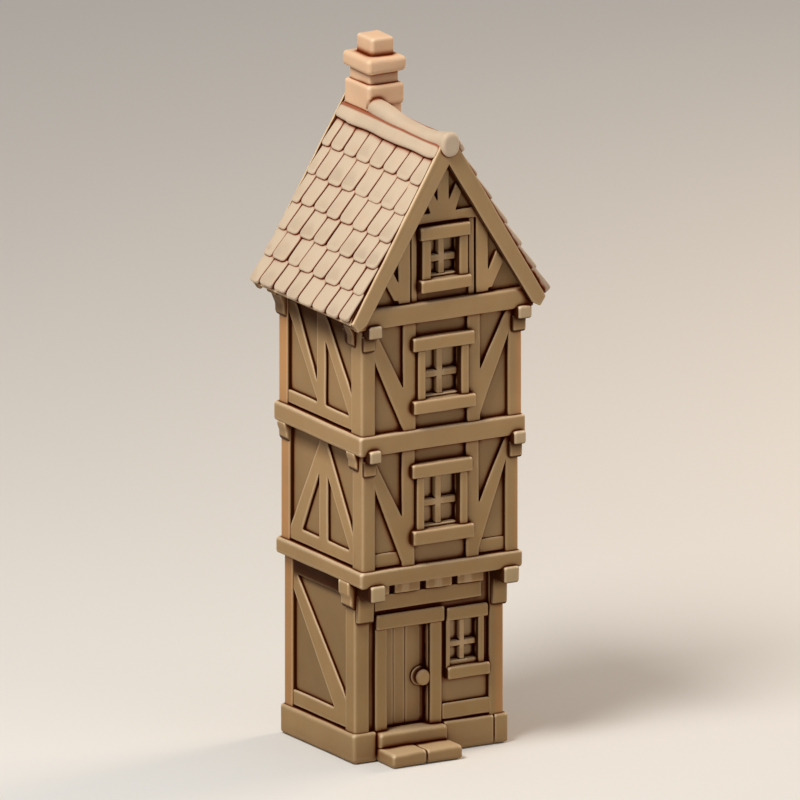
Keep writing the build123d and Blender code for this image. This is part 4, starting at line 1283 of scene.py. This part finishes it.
# flaps of the ridge, one down each slope
s = solids("left_roof_slope")[0]
for side in (-1, 1):
    bag = Bag()
    rows = []
    y0f, y1f = rlo[1] + (2.4 if side < 0 else 1.7), rhi[1] - 1.6
    endr = 2.2
    st = []
    for i in range(6):
        t = i / 5
        st.append((y0f + endr * (1 - math.sin(t * math.pi / 2)), 0.35 + 0.65 * math.cos((1 - t) * math.pi / 2)))
    st = [(y0f + endr * (1 - math.cos(i / 5 * math.pi / 2)), 0.35 + 0.65 * math.sin(i / 5 * math.pi / 2)) for i in range(6)]
    for i in range(1, 36):
        st.append((y0f + endr + (y1f - y0f - 2 * endr) * i / 36, 1.0))
    for i in range(6):
        t = 1 - i / 5
        st.append((y1f - endr * (1 - math.cos(t * math.pi / 2)), 0.35 + 0.65 * math.sin(t * math.pi / 2)))
    for y, k in st:
        drop = height(y) - 217.6
        upper = L - 0.9 + max(-0.4, min(0.5, drop * 0.3))
        lower = L - 6.75 + 0.22 * math.sin(y * 0.21) + (0.4 if y > 22 else 0)
        lower += 0.9 * max(0.0, 1 - (y - y0f) / 8.0) ** 2
        if side > 0:
            upper, lower = upper + 0.8, lower + 0.8
        mid_b, half_b = (upper + lower) / 2, (upper - lower) / 2
        c_mid, half_c = (0.0 if side < 0 else 1.1), 1.25
        row = []
        for j in range(56):
            a = 2 * math.pi * j / 56
            ca_, sa_ = math.cos(a), math.sin(a)
            db = math.copysign(abs(ca_) ** 0.62, ca_) * half_b * (1 - 0.30 * (1 - k))
            dc = math.copysign(abs(sa_) ** 0.80, sa_) * half_c * k
            dc *= 1.0 - 0.18 * (db / half_b)
            p = Vector((side * eave[0], 0, eave[1])) + Vector((-side * ca, 0, sa)) * (mid_b + db) \
                + Vector((side * sa, 0, ca)) * (c_mid + dc)
            p.y = y
            w = wave(p, 8.0, 5.1 + side)
            p = p + w * 0.14
            row.append(tuple(p))
        if side > 0:
            row.reverse()
        rows.append(row)
    loft(bag, rows, 0.5)
    bag.make(("left" if side < 0 else "right") + "_ridge_flap", M_TILE, "roof_tile",
             wash_and_shade_mark=lambda p, n: 0.85 * (1 - smooth(abs(p[0]), 3.78, 4.24)))

# ---------------------------------------------------------------- chimney
bag = Bag()
lo, hi = box("chimney_shaft")
tops = [t for t in levels(solids("chimney_shaft")[0], 2)]
rbox(bag, (lo[0], lo[1], lo[2]), (hi[0], hi[1], hi[2] + 1.2), 1.0, 2.6, 0.12, 8, seed=51,
     shape=lambda p: (p[0], p[1], max(p[2], 214.6 - 1.5256 * (abs(p[0]) - 2.0) - 1.6) if abs(p[0]) > 2 else max(p[2], 213.0)))
bag.make("chimney_shaft_stone", M_CHIM, "chimney_stone", "chimney_shaft")
for node, r, seed, own in (("chimney_collar", 1.3, 52, 0.12), ("chimney_neck", 0.8, 53, 0.08), ("chimney_cap", 1.6, 54, 0.15),
                           ("chimney_top", 1.2, 55, 0.15)):
    lo, hi = box(node)
    bag = Bag()
    if node == "chimney_neck":
        lo[2] -= 1.2
        hi[2] += 1.2
    if node == "chimney_top":
        lo[2] -= 1.2
    foot_x = box("chimney_shaft")[0][0]

    def sink(p, node=node, z0=lo[2], x0=foot_x):
        # the collar's left side runs down on to the ridge
        if node != "chimney_collar" or p[2] > z0 + 2.5:
            return p
        k = min(1.0, max(0.0, (x0 + 3.2 - p[0]) / 2.0))
        return (p[0], p[1], p[2] - 1.9 * k)

    def arch(p, n, y0=lo[1], zr=height(lo[1]) - 3.5):
        # wash that has gathered over the end of the ridge roll
        if p[1] > y0 + 1.5 or p[2] < zr:
            return 0.0
        d = math.hypot(p[0], p[2] - zr) - 3.5
        return 0.9 * (1 - smooth(abs(d - 0.1), 0.25, 0.95)) * (1 - smooth(p[0], 1.5, 4.5))

    collar = node == "chimney_collar"
    rbox(bag, lo, hi, r, 0.8 if collar else 2.2, 0.2, 8, seed=seed, own=own, tone=0.6, shape=sink)
    bag.make(node + "_stone", M_CHIM, "chimney_stone", node, wash_and_shade_mark=arch if collar else None)

# the floors inside keep their CAD shape and take the stone's finish
for node in ("base_plate", "ground_floor"):
    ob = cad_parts[node]
    ob.data.materials.clear()
    ob.data.materials.append(M_STONE)

# ---------------------------------------------------------------- floor, light, camera
def plain(name, colour, rough):
    m = bpy.data.materials.new(name)
    m.use_nodes = True
    nt = m.node_tree
    b = nt.nodes["Principled BSDF"]
    tc = nt.nodes.new("ShaderNodeTexCoord")
    n = nt.nodes.new("ShaderNodeTexNoise")
    n.inputs["Scale"].default_value = 3.0
    nt.links.new(tc.outputs["Object"], n.inputs["Vector"])
    c = ramp(nt, n.outputs[0], [(0.3, tuple(x * 0.985 for x in colour)), (0.7, colour)])
    nt.links.new(c, b.inputs["Base Color"])
    b.inputs["Roughness"].default_value = rough
    return m


me = bpy.data.meshes.new("floor")
n = 24
vv, ff = [], []
for i in range(n + 1):
    for j in range(n + 1):
        vv.append((-4 + 8 * i / n, -4 + 8 * j / n, -0.0002))
for i in range(n):
    for j in range(n):
        a = i * (n + 1) + j
        ff.append((a, a + n + 1, a + n + 2, a + 1))
me.from_pydata(vv, [], ff)
floor = bpy.data.objects.new("floor", me)
bpy.context.scene.collection.objects.link(floor)
me.materials.append(plain("floor_paper", (0.78, 0.77, 0.75), 0.9))

world = bpy.data.worlds.new("studio")
bpy.context.scene.world = world
world.use_nodes = True
bg = world.node_tree.nodes["Background"]
bg.inputs[0].default_value = (0.98, 0.965, 0.95, 1)
bg.inputs[1].default_value = 0.29


def area_light(name, az, el, dist, size, power, colour, target=(0, 0, 0.13)):
    d = bpy.data.lights.new(name, "AREA")
    d.shape = "DISK"
    d.size = size
    d.energy = power
    d.color = colour
    o = bpy.data.objects.new(name, d)
    a, e = math.radians(az), math.radians(el)
    t = Vector(target)
    o.location = t + Vector((math.sin(a) * math.cos(e), -math.cos(a) * math.cos(e), math.sin(e))) * dist
    o.rotation_mode = "QUATERNION"
    o.rotation_quaternion = (t - o.location).to_track_quat("-Z", "Y")
    bpy.context.scene.collection.objects.link(o)
    return o


area_light("key", -70, 55, 0.85, 0.34, 7.0, (1.0, 0.965, 0.91), (0, 0, 0.17))
area_light("fill", 25, 20, 1.2, 0.7, 0.7, (1.0, 0.95, 0.90))
area_light("rim", 96, 20, 1.0, 0.4, 5.2, (1.0, 0.76, 0.54))

cam = bpy.data.cameras.new("cam")
cam.type = "ORTHO"
cam.ortho_scale = 0.26797
cam.clip_start, cam.clip_end = 0.05, 12.0
co = bpy.data.objects.new("cam", cam)
bpy.context.scene.collection.objects.link(co)
ga, ge = math.radians(30.0), math.radians(15.0)
vr = Vector((math.cos(ga), -math.sin(ga), 0))
vu = Vector((math.sin(ga) * math.sin(ge), math.cos(ga) * math.sin(ge), math.cos(ge)))
vb = Vector((-math.sin(ga) * math.cos(ge), -math.cos(ga) * math.cos(ge), math.sin(ge)))
co.location = vr * 0.002077 + vu * 0.11282 + vb * 1.6
co.rotation_mode = "QUATERNION"
co.rotation_quaternion = (-vb).to_track_quat("-Z", "Y")
bpy.context.scene.camera = co
bpy.context.scene.view_settings.view_transform = "Standard"
